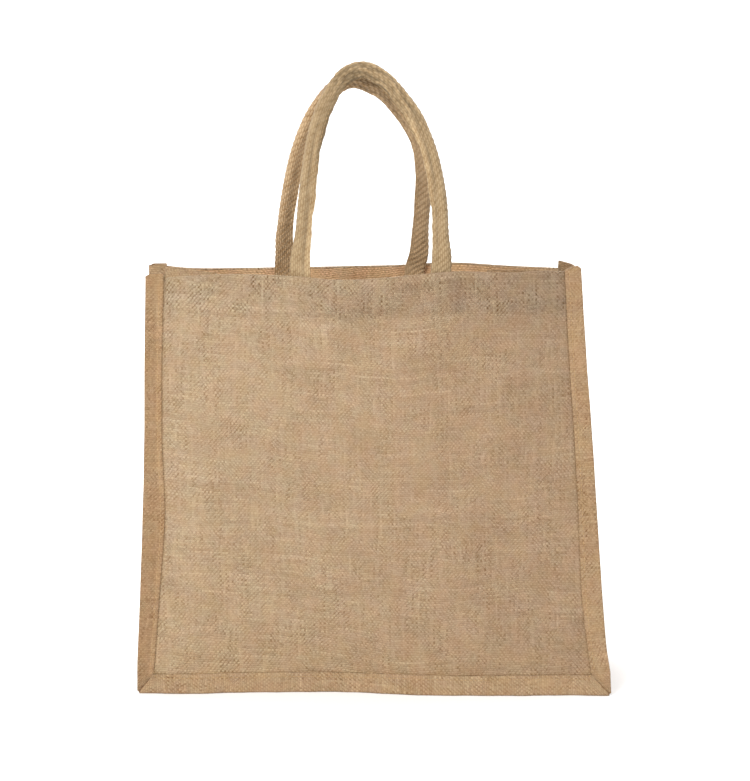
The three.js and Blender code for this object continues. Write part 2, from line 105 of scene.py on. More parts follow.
# Soft hollows and swellings: middle and half size as shares of the panel, lean, and rise in millimetres
FOLD_COLUMNS = ("across", "up", "wide", "high", "lean", "rise")
FRONT_FOLDS = [
    (0.34, 0.93, 0.08, 0.14, 0, 1.4),
    (0.5, 0.93, 0.1, 0.1, 0, -2.2),
    (0.69, 0.93, 0.08, 0.14, 0, 1.6),
    (0.785, 0.9, 0.05, 0.12, 0, -2.4),
    (0.12, 0.72, 0.1, 0.3, -0.2, 2.4),
    (0.3, 0.45, 0.16, 0.3, 0.3, -2.8),
    (0.62, 0.5, 0.2, 0.32, -0.3, 3.4),
    (0.88, 0.16, 0.07, 0.16, 0.5, -2.6),
    (0.9, 0.7, 0.08, 0.22, 0.1, -2.2),
]
BACK_FOLDS = [
    (0.3, 0.93, 0.08, 0.14, 0, 1.4),
    (0.63, 0.93, 0.08, 0.14, 0, 1.4),
    (0.2, 0.5, 0.14, 0.3, 0.3, -3.0),
    (0.55, 0.4, 0.2, 0.3, -0.3, 3.6),
    (0.82, 0.6, 0.1, 0.3, 0.2, -3.2),
    (0.45, 0.75, 0.16, 0.12, 0, -2.0),
]

# Each face's way out, how much of the seams' shift it has, and how far its left rim corner drops
FACES = {
    "front": {"way": -1, "shift": 0, "edges": FRONT_EDGES, "folds": FRONT_FOLDS, "corner": 4.2},
    "back": {"way": 1, "shift": 1, "edges": BACK_EDGES, "folds": BACK_FOLDS, "corner": 0},
}
CORNER_REACH = 0.008

# How far the border's top end rises at the seam and at its edge, and how far its corner is rounded off
BORDER_TOPS = {
    "left": {"front": (7.8, 7.4, 3.2), "back": (1.6, 1.6, 4.2), "dip": -4.0},
    "right": {"front": (1.6, 6.8, 6.2), "back": (6.6, 2.6, 1.4), "dip": -8.0},
}
CORNER_SPAN = (0.7, 1.06)

# Each handle's centre line above the rim, from its left leg over the top to its right leg
HANDLE_PATHS = {
    "front": {
        "x": [-70.8, -69.4, -66.2, -62.3, -55.9, -45.6, -31.0, -19.0, -7.0,
              6.6, 21.4, 37.6, 51.8, 58.4, 62.1, 63.2, 63.4],
        "y": [-51.5, -46.2, -36.5, -28.0, -19.6, -12.4, -8.6, -7.2, -7.0,
              -8.2, -11.6, -17.2, -24.6, -31.0, -37.4, -46.2, -51.5],
        "z": [416, 432, 469, 503, 537, 564.5, 585, 592.2, 592.6,
              585.6, 571, 549.6, 517, 490, 464, 432, 414],
    },
    "back": {
        "x": [-88.6, -89.6, -88.2, -81.4, -73.4, -60.2, -46.0, -32.4, -19.0,
              -5.0, 8.0, 26.4, 42.8, 48.0, 47.5, 44.8, 43.0],
        "y": [51.5, 46.8, 41.4, 30.6, 22.8, 15.2, 9.8, 7.2, 6.8,
              7.4, 9.6, 14.4, 21.4, 28.4, 36.8, 46.4, 51.5],
        "z": [410, 426, 445, 486, 517, 548, 568, 580.4, 583.4,
              579.4, 571.6, 552.6, 525, 494, 464, 428, 410],
    },
}

# Where the flat ends are sewn in, as shares across and up the panel, and how high above the rim the
# webbing stops being flat and is round
HANDLE_ENDS = {"front": (0.342, 0.688), "back": (0.3, 0.634)}
HANDLE_END_HEIGHTS = (0.915, 0.95, 0.985)
HANDLE_END_MIDDLE = 0.95
FLAT_HALF = 2.1
HANDLE_GAP = 0.7
FLAT_UNTIL = 2.0
ROUND_FROM = 46.0

# How many points the path has between two given ones, and over how many it is smoothed
PATH_PARTS = 40
PATH_SMOOTHING = 9

# The webbing, and half of its folded middle line from the selvedge in the fin round to the outer side
WEBBING = 1.5
WEBBING_WIDTH = 37.6
TUBE_HALF = {
    "out": [-8.9, -6.6, -4.4, -2.9, -1.4, 0.4, 2.8, 4.9, 6.2],
    "side": [0.85, 0.9, 1.4, 2.3, 3.4, 4.5, 4.7, 3.1, 0.0],
}
BUNCHED_HALF = {
    "out": [-8.9, -7.6, -5.8, -4.0, -2.0, 0.2, 2.6, 4.8, 6.0],
    "side": [1.5, 2.9, 3.8, 4.4, 4.9, 5.0, 4.6, 3.0, 0.0],
}
BUNCHED = {"share": [0, 0.36, 0.4, 0.47, 0.56, 0.64, 0.76, 1], "amount": [0, 0, 0.3, 1, 1, 0.6, 0, 0]}
FLAT_HALF_SECTION = {
    "out": [-9.3, -7.2, -5.4, -4.0, -1.6, 1.8, 5.2, 8.2, 9.4],
    "side": [1.2, 1.2, 1.25, 1.3, 1.3, 1.3, 1.25, 1.1, 0.0],
}

# The webbing's herringbone: ribs that slant over each half of the strip, made of raised yarns
RIB_PERIOD = 6.2
RIB_SLOPE = -1.05
RIB_HEIGHT = 0.2
YARN_PITCH = 2.0
FIN = {"until": 4.0, "sways_from": 5.6}
FIN_SWAY_SHARE = {"front": 1.0, "back": 0.3}
FIN_SWAY = [
    {"length": 71.0, "phase": 0.8, "side": 0.5, "out": 0.5},
    {"length": 33.0, "phase": 3.1, "side": 0.3, "out": 0.35},
    {"length": 12.5, "phase": 5.0, "side": 0.12, "out": 0.2},
]

# Creases of each handle: middle as a share of its length and a place on the strip, how far the
# crease leans along the strip, its half sizes and its rise
CREASE_COLUMNS = ("share", "strip", "lean", "long", "wide", "rise")
HANDLE_CREASES = {
    "front": [
        (0.436, 27.0, -1.5, 2.2, 7.0, 1.2),
        (0.460, 30.0, -1.2, 4.0, 5.0, -2.0),
        (0.330, 27.0, 0.4, 8.0, 4.0, -0.6),
        (0.200, 25.0, -0.3, 9.0, 5.0, 0.5),
    ],
    "back": [
        (0.455, 28.0, 1.0, 3.4, 6.0, -1.4),
        (0.300, 26.0, -0.5, 8.0, 5.0, -0.6),
    ],
}

# Crumples where the webbing is bunched: waves over the strip that bend as they run along it
CRUMPLES = [
    {"strip": 6.8, "bend": 1.5, "length": 47.0, "phase": 0.7, "rise": 0.26},
    {"strip": 4.3, "bend": 1.9, "length": 29.0, "phase": 2.9, "rise": 0.18},
    {"strip": 2.9, "bend": 2.2, "length": 17.0, "phase": 1.4, "rise": 0.12},
    {"strip": 12.0, "bend": 3.4, "length": 15.0, "phase": 4.4, "rise": 0.14},
]
# Painted shade and light on the crumples: darker in their hollows, lighter on their crests
CRUMPLE_PAINTED_SHADE = 0.75

# Painted shade and painted light on each handle, placed in the same way by half sizes: a tone below 1
# darkens its bunched top, a recess, its grooves and the selvedges that lie in shade, and a tone above 1
# lightens its fins and bands where light falls
SHADE_COLUMNS = ("share", "strip", "long", "wide", "tone")
HANDLE_PAINTED_SHADE_AND_LIGHT = {
    "front": [
        (0.495, 24.0, 44.0, 40.0, 0.8),
        (0.466, 33.0, 12.0, 7.0, 0.66),
        (0.540, 37.0, 46.0, 4.5, 0.72),
        (0.340, 37.6, 48.0, 4.4, 0.44),
        (0.110, 31.2, 42.0, 1.2, 0.76),
        (0.140, 35.4, 54.0, 2.8, 1.3),
        (0.290, 28.0, 34.0, 1.2, 0.76),
        (0.290, 31.6, 34.0, 2.6, 1.4),
        (0.605, 26.0, 16.0, 40.0, 0.96),
        (0.630, 28.0, 22.0, 1.5, 0.6),
        (0.720, 30.2, 26.0, 1.4, 0.62),
        (0.840, 32.8, 44.0, 1.3, 0.72),
        (0.720, 34.8, 62.0, 2.4, 1.26),
        (0.880, 18.8, 76.0, 5.0, 0.82),
    ],
    "back": [
        (0.540, 26.0, 64.0, 40.0, 0.64),
        (0.230, 37.6, 90.0, 8.0, 0.82),
        (0.260, 22.0, 42.0, 14.0, 0.92),
        (0.060, 24.0, 26.0, 30.0, 1.1),
        (0.770, 26.0, 54.0, 40.0, 0.73),
        (0.300, 26.0, 60.0, 40.0, 1.03),
    ],
}
# Painted light and shade over each whole handle: the back one lit up, the front one darkened
HANDLE_PAINTED_LIGHT = {"front": np.array([0.91, 0.89, 0.86]), "back": np.array([1.24, 1.17, 1.15])}
RIB_CONTRAST = {"share": [0, 0.4, 0.6, 1], "front": [0.9, 0.7, 0.7, 0.9], "back": [1.7, 1.3, 0.7, 0.6]}

# Powers of red, green and blue that turn a tone into a tint: the darker, the redder
BROWN = np.array([0.78, 1.0, 1.25])

# Grid spacings of the fine sheets, and how sharp an edge has to be to look sharp
CLOTH_STEP = 3.2
STATION_STEP = 1.2 * CLOTH_STEP
SEAM_STEPS = (0.5, 1.0, 1.6, 2.4, 3.4, 4.6)
SEAM_MARGIN = 1.4
RING_STEP = 0.7
RING_POINTS = 46
SHARP_ANGLE = math.radians(62)


def smoothstep(value, low, high):
    share = np.clip((np.asarray(value, float) - low) / (high - low), 0, 1)
    return share * share * (3 - 2 * share)


def mix(start, end, share):
    return start + (end - start) * share


def browned(tone):
    return np.asarray(tone)[..., None] ** BROWN


def unit(vectors):
    length = np.linalg.norm(vectors, axis=-1, keepdims=True)
    return vectors / np.maximum(length, 1e-9)


def sine(wave, place):
    return np.sin(math.tau * place / wave["length"] + wave["phase"])


def named(columns, rows):
    """The rows of a table as dictionaries by column."""
    return [dict(zip(columns, row)) for row in rows]


def hermite(start, slope_start, end, slope_end, share):
    """A cubic curve from start to end with the given slopes there."""
    s2 = share**2
    s3 = share**3
    return (
        start * (2 * s3 - 3 * s2 + 1)
        + slope_start * (s3 - 2 * s2 + share)
        + end * (3 * s2 - 2 * s3)
        + slope_end * (s3 - s2)
    )


def read(table, key, column, at):
    """Smooth reading of one column of a table at values of its key column."""
    keys = np.asarray(table[key], float)
    values = np.asarray(table[column], float)
    place = np.clip(at, keys[0], keys[-1])
    row = np.clip(np.searchsorted(keys, place) - 1, 0, len(keys) - 2)
    before = np.maximum(row - 1, 0)
    after = np.minimum(row + 2, len(keys) - 1)
    span = keys[row + 1] - keys[row]
    slope_in = (values[row + 1] - values[before]) / (keys[row + 1] - keys[before]) * span
    slope_out = (values[after] - values[row]) / (keys[after] - keys[row]) * span
    return hermite(values[row], slope_in, values[row + 1], slope_out, (place - keys[row]) / span)


def travelled(points):
    """How far along the line through the points each one lies."""
    return np.concatenate([[0], np.cumsum(np.linalg.norm(np.diff(points, axis=0), axis=1))])


def points_at(places, travel, points):
    return np.stack([np.interp(places, travel, points[:, axis]) for axis in range(3)], -1)


def on_panel(spot, across, up, sharpness=2):
    """How near a place is to the middle of a spot on a panel, from 1 there to 0 far away."""
    lean = spot.get("lean", 0) * (up - spot["up"])
    beside = np.abs((across - spot["across"] - lean) / spot["wide"]) ** sharpness
    beyond = np.abs((up - spot["up"]) / spot["high"]) ** sharpness
    return np.exp(-(beside + beyond))


def on_strip(spot, along, strip):
    """How near a place is to the middle of a spot on a handle, from 1 there to 0 far away."""
    beside = strip - spot["strip"]
    beyond = along - spot["share"] * along.max() - spot.get("lean", 0) * beside
    return np.exp(-((beside / spot["wide"]) ** 2 + (beyond / spot["long"]) ** 2))


def height_at(up):
    return mix(SEAM_HEIGHT, RIM_HEIGHT, up)


def seams_x(face, height):
    """Where a face's left and right side seams lie at a height."""
    return [
        read(side, "height", "x", height) + face["shift"] * read(side, "height", "behind", height)
        for side in (LEFT_SIDE, RIGHT_SIDE)
    ]


# Fine unevenness of hanging cloth: waves as wavelengths in millimetres, direction in degrees and rise
WAVES = [
    {"length": 96.0, "turn": 20, "phase": 0.4, "rise": 0.5},
    {"length": 61.0, "turn": 112, "phase": 2.1, "rise": 0.34},
    {"length": 43.0, "turn": 65, "phase": 4.0, "rise": 0.22},
    {"length": 29.0, "turn": 150, "phase": 1.2, "rise": 0.14},
    {"length": 17.0, "turn": 8, "phase": 5.2, "rise": 0.07},
]

# How far the cloth stands out over the hem and over the handles' ends, and the groove beside the seams
HEM_STEP = 0.7
HEM_STEP_SPAN = 4.0
TONGUE_HALF = {"x": 12.0, "z": 26.0}
TONGUE_RISE = 0.9
TONGUE_EDGE = 6.0
SEAM_GROOVE = {"depth": 0.4, "reach": 0.9}


def waves(x, z):
    turns = [math.radians(wave["turn"]) for wave in WAVES]
    return sum(
        wave["rise"] * sine(wave, x * math.cos(turn) + z * math.sin(turn))
        for wave, turn in zip(WAVES, turns)
    )


def seam_groove(x, height, left_x, right_x):
    """How deep a place lies in the groove that runs beside the seams, from 0 to 1."""
    distance = np.minimum(np.minimum(x - left_x, right_x - x), height - SEAM_HEIGHT)
    share = np.maximum(distance, 0) / SEAM_GROOVE["reach"]
    return share * np.exp(1 - share)


def cloth_relief(name, x, height, left_x, right_x):
    """How far the cloth stands out: over the hem and the handles' ends, beside seams and in waves."""
    relief = -SEAM_GROOVE["depth"] * seam_groove(x, height, left_x, right_x)
    hem_edge = RIM_HEIGHT - HEM_DEPTH
    relief = relief + HEM_STEP * smoothstep(height, hem_edge - HEM_STEP_SPAN, hem_edge)
    end_height = height_at(HANDLE_END_MIDDLE)
    for across in HANDLE_ENDS[name]:
        beyond_x = np.abs(x - mix(left_x, right_x, across)) - TONGUE_HALF["x"]
        beyond_z = np.abs(height - end_height) - TONGUE_HALF["z"]
        beyond = np.maximum(beyond_x, beyond_z)
        relief = relief + TONGUE_RISE * smoothstep(-beyond, -TONGUE_EDGE, 0)
    return relief + waves(x, height)


def panel_point(name, across, up):
    """A point of a panel's middle face, by its share across and up."""
    face = FACES[name]
    across = np.asarray(across, float)
    up = np.asarray(up, float)
    height = height_at(up)
    left_x, right_x = seams_x(face, height)
    left_depth, right_depth = (read(side, "height", name, height) for side in (LEFT_SIDE, RIGHT_SIDE))
    foot_bulge, rim_bulge, rim = (
        read(face["edges"], "across", column, across) for column in ("foot_bulge", "rim_bulge", "rim")
    )
    rim = rim - face["corner"] * np.exp(-((across / CORNER_REACH) ** 2))
    depth = mix(left_depth, right_depth, across) + mix(foot_bulge, rim_bulge, smoothstep(up, 0, 1))
    for fold in named(FOLD_COLUMNS, face["folds"]):
        depth = depth + fold["rise"] * on_panel(fold, across, up)
    x = mix(left_x, right_x, across)
    depth = depth + cloth_relief(name, x, height, left_x, right_x)
    x, y, z = np.broadcast_arrays(x, face["way"] * depth, height + rim * up * up)
    return np.stack([x, y, z], -1) + MIDDLE


def panel_normal(name, across, up):
    a = np.clip(across, NORMAL_STEP, 1 - NORMAL_STEP)
    b = np.clip(up, NORMAL_STEP, 1 - NORMAL_STEP)
    along_x = panel_point(name, a + NORMAL_STEP, b) - panel_point(name, a - NORMAL_STEP, b)
    along_z = panel_point(name, a, b + NORMAL_STEP) - panel_point(name, a, b - NORMAL_STEP)
    return unit(np.cross(along_x, along_z)) * -FACES[name]["way"]


def side_border(name, across, up):
    """The border's whole width beside a side seam, as a vector that runs on from the panel."""
    side = LEFT_SIDE if across == 0 else RIGHT_SIDE
    up = np.asarray(up, float)
    inner = panel_point(name, TANGENT_STEP if across == 0 else 1 - TANGENT_STEP, up)
    outward = panel_point(name, across, up) - inner
    outward[..., 1] *= TANGENT_SHARE
    outward[..., 2] = 0
    width = read(side, "height", "border", height_at(up))
    return unit(outward) * np.asarray(width)[..., None]


def foot_border(name, across):
    """The border's whole height below the foot seam, which reaches the floor."""
    downward = panel_point(name, across, 0) - panel_point(name, across, TANGENT_STEP)
    downward[..., 0] = 0
    return downward * (-SEAM_HEIGHT / downward[..., 2:])


# Building meshes


def finished(piece, slot, *nodes):
    """A piece rides with the bag and stands for its solids, which it hides. Its slot is not used."""
    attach(piece, BODY)
    if nodes:
        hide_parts(*nodes)
    return piece


def mesh_object(name, points, faces, material, uv=None, tint=None):
    """A smooth object in metres from points in millimetres, with its own map and tint."""
    mesh = bpy.data.meshes.new(name)
    mesh.from_pydata((points * MM).tolist(), [], faces if isinstance(faces, list) else faces.tolist())
    if uv is not None:
        layer = mesh.uv_layers.new(name=UV_NAME)
        layer.uv.foreach_set("vector", (uv * MM).astype(np.float32).ravel())
    if tint is not None:
        colours = np.ones((len(tint), 4))
        colours[:, : tint.shape[1]] = tint
        attribute = mesh.attributes.new(TINT_NAME, "FLOAT_COLOR", "POINT")
        attribute.data.foreach_set("color", colours.astype(np.float32).ravel())
    mesh.materials.append(material)
    mesh.shade_smooth()
    mesh.set_sharp_from_angle(angle=SHARP_ANGLE)
    piece = bpy.data.objects.new(name, mesh)
    bpy.context.scene.collection.objects.link(piece)
    return piece


def row_normals(rows):
    return unit(np.cross(np.gradient(rows, axis=1), np.gradient(rows, axis=0)))


def sheet_faces(row_count, column_count):
    """Quads of a closed sheet: its two sides and the strip of its thickness round them."""
    top, under = np.arange(2 * row_count * column_count).reshape(2, row_count, column_count)
    edge, under_edge = (
        np.concatenate([side[0, :-1], side[:-1, -1], side[-1, :0:-1], side[:0:-1, 0]])
        for side in (top, under)
    )
    quads = [
        np.stack([top[:-1, :-1], top[:-1, 1:], top[1:, 1:], top[1:, :-1]], -1),
        np.stack([under[:-1, :-1], under[1:, :-1], under[1:, 1:], under[:-1, 1:]], -1),
        np.stack([edge, under_edge, np.roll(under_edge, -1), np.roll(edge, -1)], -1),
    ]
    return np.concatenate([quad.reshape(-1, 4) for quad in quads])


def thick_sheet(name, rows, thickness, material, uv, tint, uv_after=None, lift=None):
    """A closed cloth from rows of middle points. uv_after is the map on the far side of a row where
    the grain turns, and lift raises the outer side."""
    row_count, column_count = rows.shape[:2]
    normals = row_normals(rows)
    raised = 0 if lift is None else lift[..., None]
    top = rows + normals * (thickness / 2 + raised)
    under = rows - normals * thickness / 2
    points = np.concatenate([top.reshape(-1, 3), under.reshape(-1, 3)])
    faces = sheet_faces(row_count, column_count)
    row_of = (faces // column_count) % row_count
    before = np.tile(uv.reshape(-1, 2), (2, 1))
    after = before if uv_after is None else np.tile(uv_after.reshape(-1, 2), (2, 1))
    starts = row_of == row_of.min(axis=1, keepdims=True)
    corners = np.where(starts[..., None], after[faces], before[faces])
    volume = np.einsum(
        "ij,ij->i",
        points[faces[:, 0]],
        np.cross(points[faces[:, 1]], points[faces[:, 2]])
        + np.cross(points[faces[:, 2]], points[faces[:, 3]]),
    ).sum()
    if volume < 0:
        faces = faces[:, ::-1]
        corners = corners[:, ::-1]
    colours = np.tile(tint.reshape(-1, tint.shape[-1]), (2, 1))
    return mesh_object(name, points, faces, material, corners.reshape(-1, 2), colours)


def steps(length, step):
    return max(int(round(length / step)), 1)


def spaced(length):
    """Shares along a length, even but for a few close steps beside each end."""
    near = np.array(SEAM_STEPS) / length
    even = np.linspace(0, 1, steps(length, CLOTH_STEP) + 1)
    margin = near[-1] * SEAM_MARGIN
    clear = even[(even == 0) | (even == 1) | ((even > margin) & (even < 1 - margin))]
    return np.sort(np.concatenate([clear, near, 1 - near]))


# Painted shade and light on the front cloth: patches as shares of the panel, with the tone that they
# reach. They darken the band over the hem, partly for its double layer and partly as painted shade in its
# hollow, darken the recess beside the right handle's end, the right side and the lower right as painted
# shade, warm the foot, and lighten the lower left as painted light. A higher sharpness gives a patch a
# clearer edge.
PATCH_COLUMNS = ("across", "up", "wide", "high", "sharpness", "tone")
FRONT_PAINTED_LIGHT_AND_SHADE = [
    (0.5, 0.96, 3.0, 0.066, 14, (0.94, 0.945, 0.95)),
    (0.97, 0.95, 0.22, 0.07, 4, (0.9, 0.91, 0.92)),
    (0.58, 0.94, 0.165, 0.046, 14, (0.92, 0.915, 0.91)),
    (0.726, 0.948, 0.024, 0.042, 4, (0.92, 0.92, 0.93)),
    (0.97, 0.8, 0.11, 0.3, 2, (0.94, 0.95, 0.965)),
    (0.92, 0.1, 0.12, 0.14, 2, (0.96, 0.97, 0.98)),
    (0.5, 0.0, 3.0, 0.07, 2, (1.0, 0.985, 0.945)),
    (0.12, 0.12, 0.3, 0.22, 2, (1.012, 1.0, 0.98)),
]
# Painted light and shade across the front: lighter on the left, where the light falls, darker and greyer
# to the right
PAINTED_LIGHT_AND_SHADE_ACROSS = {"left": np.array([1.03, 1.04, 1.04]), "right": np.array([0.905, 0.86, 0.84])}

# Painted shade in the groove beside the seams: darkest near the rim, and warmer than the cloth
GROOVE_PAINTED_SHADE = {"foot": 0.93, "rim": 0.6, "from": 0.05, "until": 0.8}
GROOVE_SHADE_CAST = np.array([1.0, 0.96, 0.86])

# How steeply the weft slants left of a place, how much clearer the weave is over the hem, and how
# much calmer it is in the middle of the panel
GRAIN = {"slope": 0.07, "until": 20.0}
HEM_CONTRAST = {"gain": 1.38, "within": 0.015}
CALM = {"across": 0.52, "up": 0.6, "wide": 0.34, "high": 0.26, "gain": 0.74}


def panel_tint(name, across, up, groove):
    """The tint of a panel, with painted shade in the groove beside the seams and, on the front, painted
    light and shade, and with the weave's contrast as its fourth value.
    """
    # Painted shade in the groove beside the seams, darkest near the rim
    darkest = mix(
        GROOVE_PAINTED_SHADE["foot"],
        GROOVE_PAINTED_SHADE["rim"],
        smoothstep(up, GROOVE_PAINTED_SHADE["from"], GROOVE_PAINTED_SHADE["until"]),
    )
    in_groove = groove**2
    tint = browned(mix(1, darkest, in_groove)) * mix(1, GROOVE_SHADE_CAST, in_groove[..., None])
    # Painted light on the left and painted shade on the right of the front cloth
    if name == "front":
        to_right = smoothstep(across, 0, 1)[..., None]
        tint = tint * mix(PAINTED_LIGHT_AND_SHADE_ACROSS["left"], PAINTED_LIGHT_AND_SHADE_ACROSS["right"], to_right)
        # Painted shade and light in patches
        for patch in named(PATCH_COLUMNS, FRONT_PAINTED_LIGHT_AND_SHADE):
            near = on_panel(patch, across, up, patch["sharpness"])
            tint = tint * mix(1, np.array(patch["tone"]), near[..., None])
    over_hem = smoothstep(up, HEM_SHARE, HEM_SHARE + HEM_CONTRAST["within"])
    contrast = mix(1, HEM_CONTRAST["gain"], over_hem) * mix(1, CALM["gain"], on_panel(CALM, across, up))
    return np.concatenate([tint, contrast[..., None]], -1)


# The hem inside the bag, lit up and warmed by painted light that stands in for light shining through the
# cloth, with the weave's contrast as its fourth value; the turns of the rim's fold, and the height at
# which the grid takes its width
HEM_PAINTED_LIGHT = np.array([1.86, 1.68, 1.52, 0.8])
RIM_FOLD_TURNS = np.radians(np.linspace(0, 180, 13))
WIDTH_TAKEN_AT = 200.0


def build_panel(name, material):
    """From the edge inside the foot border up to the rim, over the fold and down the hem."""
    left_x, right_x = seams_x(FACES[name], WIDTH_TAKEN_AT)
    lines = spaced(right_x - left_x)
    ups = spaced(RIM_HEIGHT - SEAM_HEIGHT)[:-1]
    hem_ups = np.linspace(1, HEM_SHARE, steps(HEM_DEPTH, CLOTH_STEP) + 1)[1:]
    inset = LIP_OFFSET + HALF_CLOTH + EDGE_GAP

    def across_row(up, offset):
        points = panel_point(name, lines, up) + panel_normal(name, lines, up) * offset
        ends = []
        for across, end in ((0, 0), (1, -1)):
            border = side_border(name, across, up)
            ends.append(points[end] + border * (1 - inset / np.linalg.norm(border)))
        return np.vstack([ends[0], points, ends[1]])

    foot = foot_border(name, lines)
    shrink = 1 - inset / np.linalg.norm(foot, axis=1, keepdims=True)
    foot_row = panel_point(name, lines, 0) + foot * shrink
    corners = []
    for across, end in ((0, 0), (1, -1)):
        side = side_border(name, across, 0)
        width_there = (np.linalg.norm(side) + np.linalg.norm(foot[end])) / 2
        corners.append(panel_point(name, across, 0) + (side + foot[end]) * (1 - inset / width_there))
    rows = [np.vstack([corners[0], foot_row, corners[1]])]
    rows += [across_row(up, 0) for up in ups]
    for turn in RIM_FOLD_TURNS:
        row = across_row(1, -HEM_FOLD_RADIUS * (1 - math.cos(turn)))
        row[:, 2] -= HEM_FOLD_RADIUS * (1 - math.sin(turn)) + HALF_CLOTH
        rows.append(row)
    rows += [across_row(up, -2 * HEM_FOLD_RADIUS) for up in hem_ups]
    rows = np.array(rows)
    row_ups = [0, *ups, *np.ones(len(RIM_FOLD_TURNS)), *hem_ups]
    in_hem = np.arange(len(rows)) >= len(rows) - len(hem_ups) - 1

    travel = np.linalg.norm(np.diff(rows, axis=0), axis=2).mean(axis=1)
    along = np.concatenate([[0], np.cumsum(travel)])
    drift = GRAIN["slope"] * np.minimum(rows[:, :, 0] - GRAIN["until"], 0)
    uv = np.stack([rows[:, :, 0], along[:, None] + drift], -1)
    across, up = np.meshgrid([0, *lines, 1], row_ups)
    height = height_at(up)
    left_x, right_x = seams_x(FACES[name], height)
    groove = seam_groove(mix(left_x, right_x, across), height, left_x, right_x)
    # Painted light on the hem inside the bag
    tint = np.where(in_hem[:, None, None], HEM_PAINTED_LIGHT, panel_tint(name, across, up, groove))
    return thick_sheet(f"{name}_panel_cloth", rows, CLOTH, material, uv, tint)


# The gusset's border: how its cloth runs near the bottom corners, where the side strip ends in a mitre
MITRE_SPAN = 4.0
MITRE_SHARES = (0.35, 0.7, 0.9)
MITRE_RAISE = {"from": 0.3, "until": 0.8, "rise": 0.5}
CORNER_PULL = 0.92
LIP_CURL = {"out": (-0.7, -0.5, 0.1, 1.2, 3.0), "drop": (1.1, 0.35, 0.0, 0.0, 0.0)}
LIP_POINTS = 5
LAYER_POINTS = 4
EDGE_FOLD_TURNS = np.radians(np.linspace(72, -72, 9))

# Its tones: each part of the border, painted shade along the mitre's crease, a painted highlight on the
# lip's edge beside the seam, all that lies behind the border, and the layer behind the back border at the
# top right, which is in shade and gets painted shade
BORDER_TONES = {"left": 0.83, "foot": 1.07, "right": 0.97}
MITRE_PAINTED_SHADE = 0.5
LIP_PAINTED_HIGHLIGHT = {"left": 1.14, "foot": 1.0, "right": 1.0}
WALL_TINT = np.array([1.05, 1.08, 1.1])
RIGHT_TOP_TINT = np.array([0.7, 0.665, 0.63])
SHADED_FROM = 0.97

# Its walls: waves along and across them, which fade where a wall tucks in by less than a depth and
# are weaker over the foot. Along the walls, places are counted from the middle of the foot.
WALL_POINTS = 45
WALL_WAVES = [
    {"length": 120.0, "across": 1, "phase": 0.6, "rise": 2.0},
    {"length": 74.0, "across": 2, "phase": 2.4, "rise": 1.1},
    {"length": 47.0, "across": 3, "phase": 4.4, "rise": 0.6},
]
WAVES_FADE = {"depth": 12.0, "foot": 0.3}
FOOT_HALF = 210.0


def seam_stations(foot_length):
    """The path of the seam: down the left side, along the foot and up the right side. Beside a
    bottom corner, each station says how much of the border beyond the corner it takes in."""
    height = RIM_HEIGHT - SEAM_HEIGHT
    side_span = MITRE_SPAN / height
    foot_span = MITRE_SPAN / foot_length
    ups = np.linspace(side_span, 1, steps(height, STATION_STEP) + 1)
    lines = np.linspace(foot_span, 1 - foot_span, steps(foot_length, STATION_STEP) + 1)
    nearer = MITRE_SHARES
    farther = MITRE_SHARES[::-1]
    left = [{"across": 0.0, "up": up} for up in ups[::-1]]
    left += [{"across": 0.0, "up": side_span * (1 - share), "foot": share} for share in (*nearer, 1.0)]
    foot = [{"across": foot_span * (1 - share), "up": 0.0, "side": share} for share in farther]
    foot += [{"across": across, "up": 0.0} for across in lines]
    foot += [{"across": 1 - foot_span * (1 - share), "up": 0.0, "side": share} for share in nearer]
    foot += [{"across": 1.0, "up": 0.0, "foot": 1.0}]
    right = [{"across": 1.0, "up": side_span * (1 - share), "foot": share} for share in farther]
    right += [{"across": 1.0, "up": up} for up in ups]
    parts = {"left": left, "foot": foot, "right": right}
    return [{**station, "part": part} for part, stations in parts.items() for station in stations]


def border_at(name, station):
    """The border's vector at a station, its width square to the seam and how near the mitre it is."""
    across = station["across"]
    up = station["up"]
    foot_share = station.get("foot", 1.0 if up == 0 else 0.0)
    side_share = station.get("side", 1.0 if across in (0.0, 1.0) else 0.0)
    side = side_border(name, round(across), up) * side_share
    foot = foot_border(name, across) * foot_share
    side_width = np.linalg.norm(side)
    foot_width = np.linalg.norm(foot)
    whole = max(side_width, foot_width)
    mitred = min(side_share, foot_share)
    width = mix(whole, (side_width + foot_width) / 2, mitred)
    corner = CORNER_PULL if mitred == 1 else 1
    return (side + foot) * corner, width, mitred


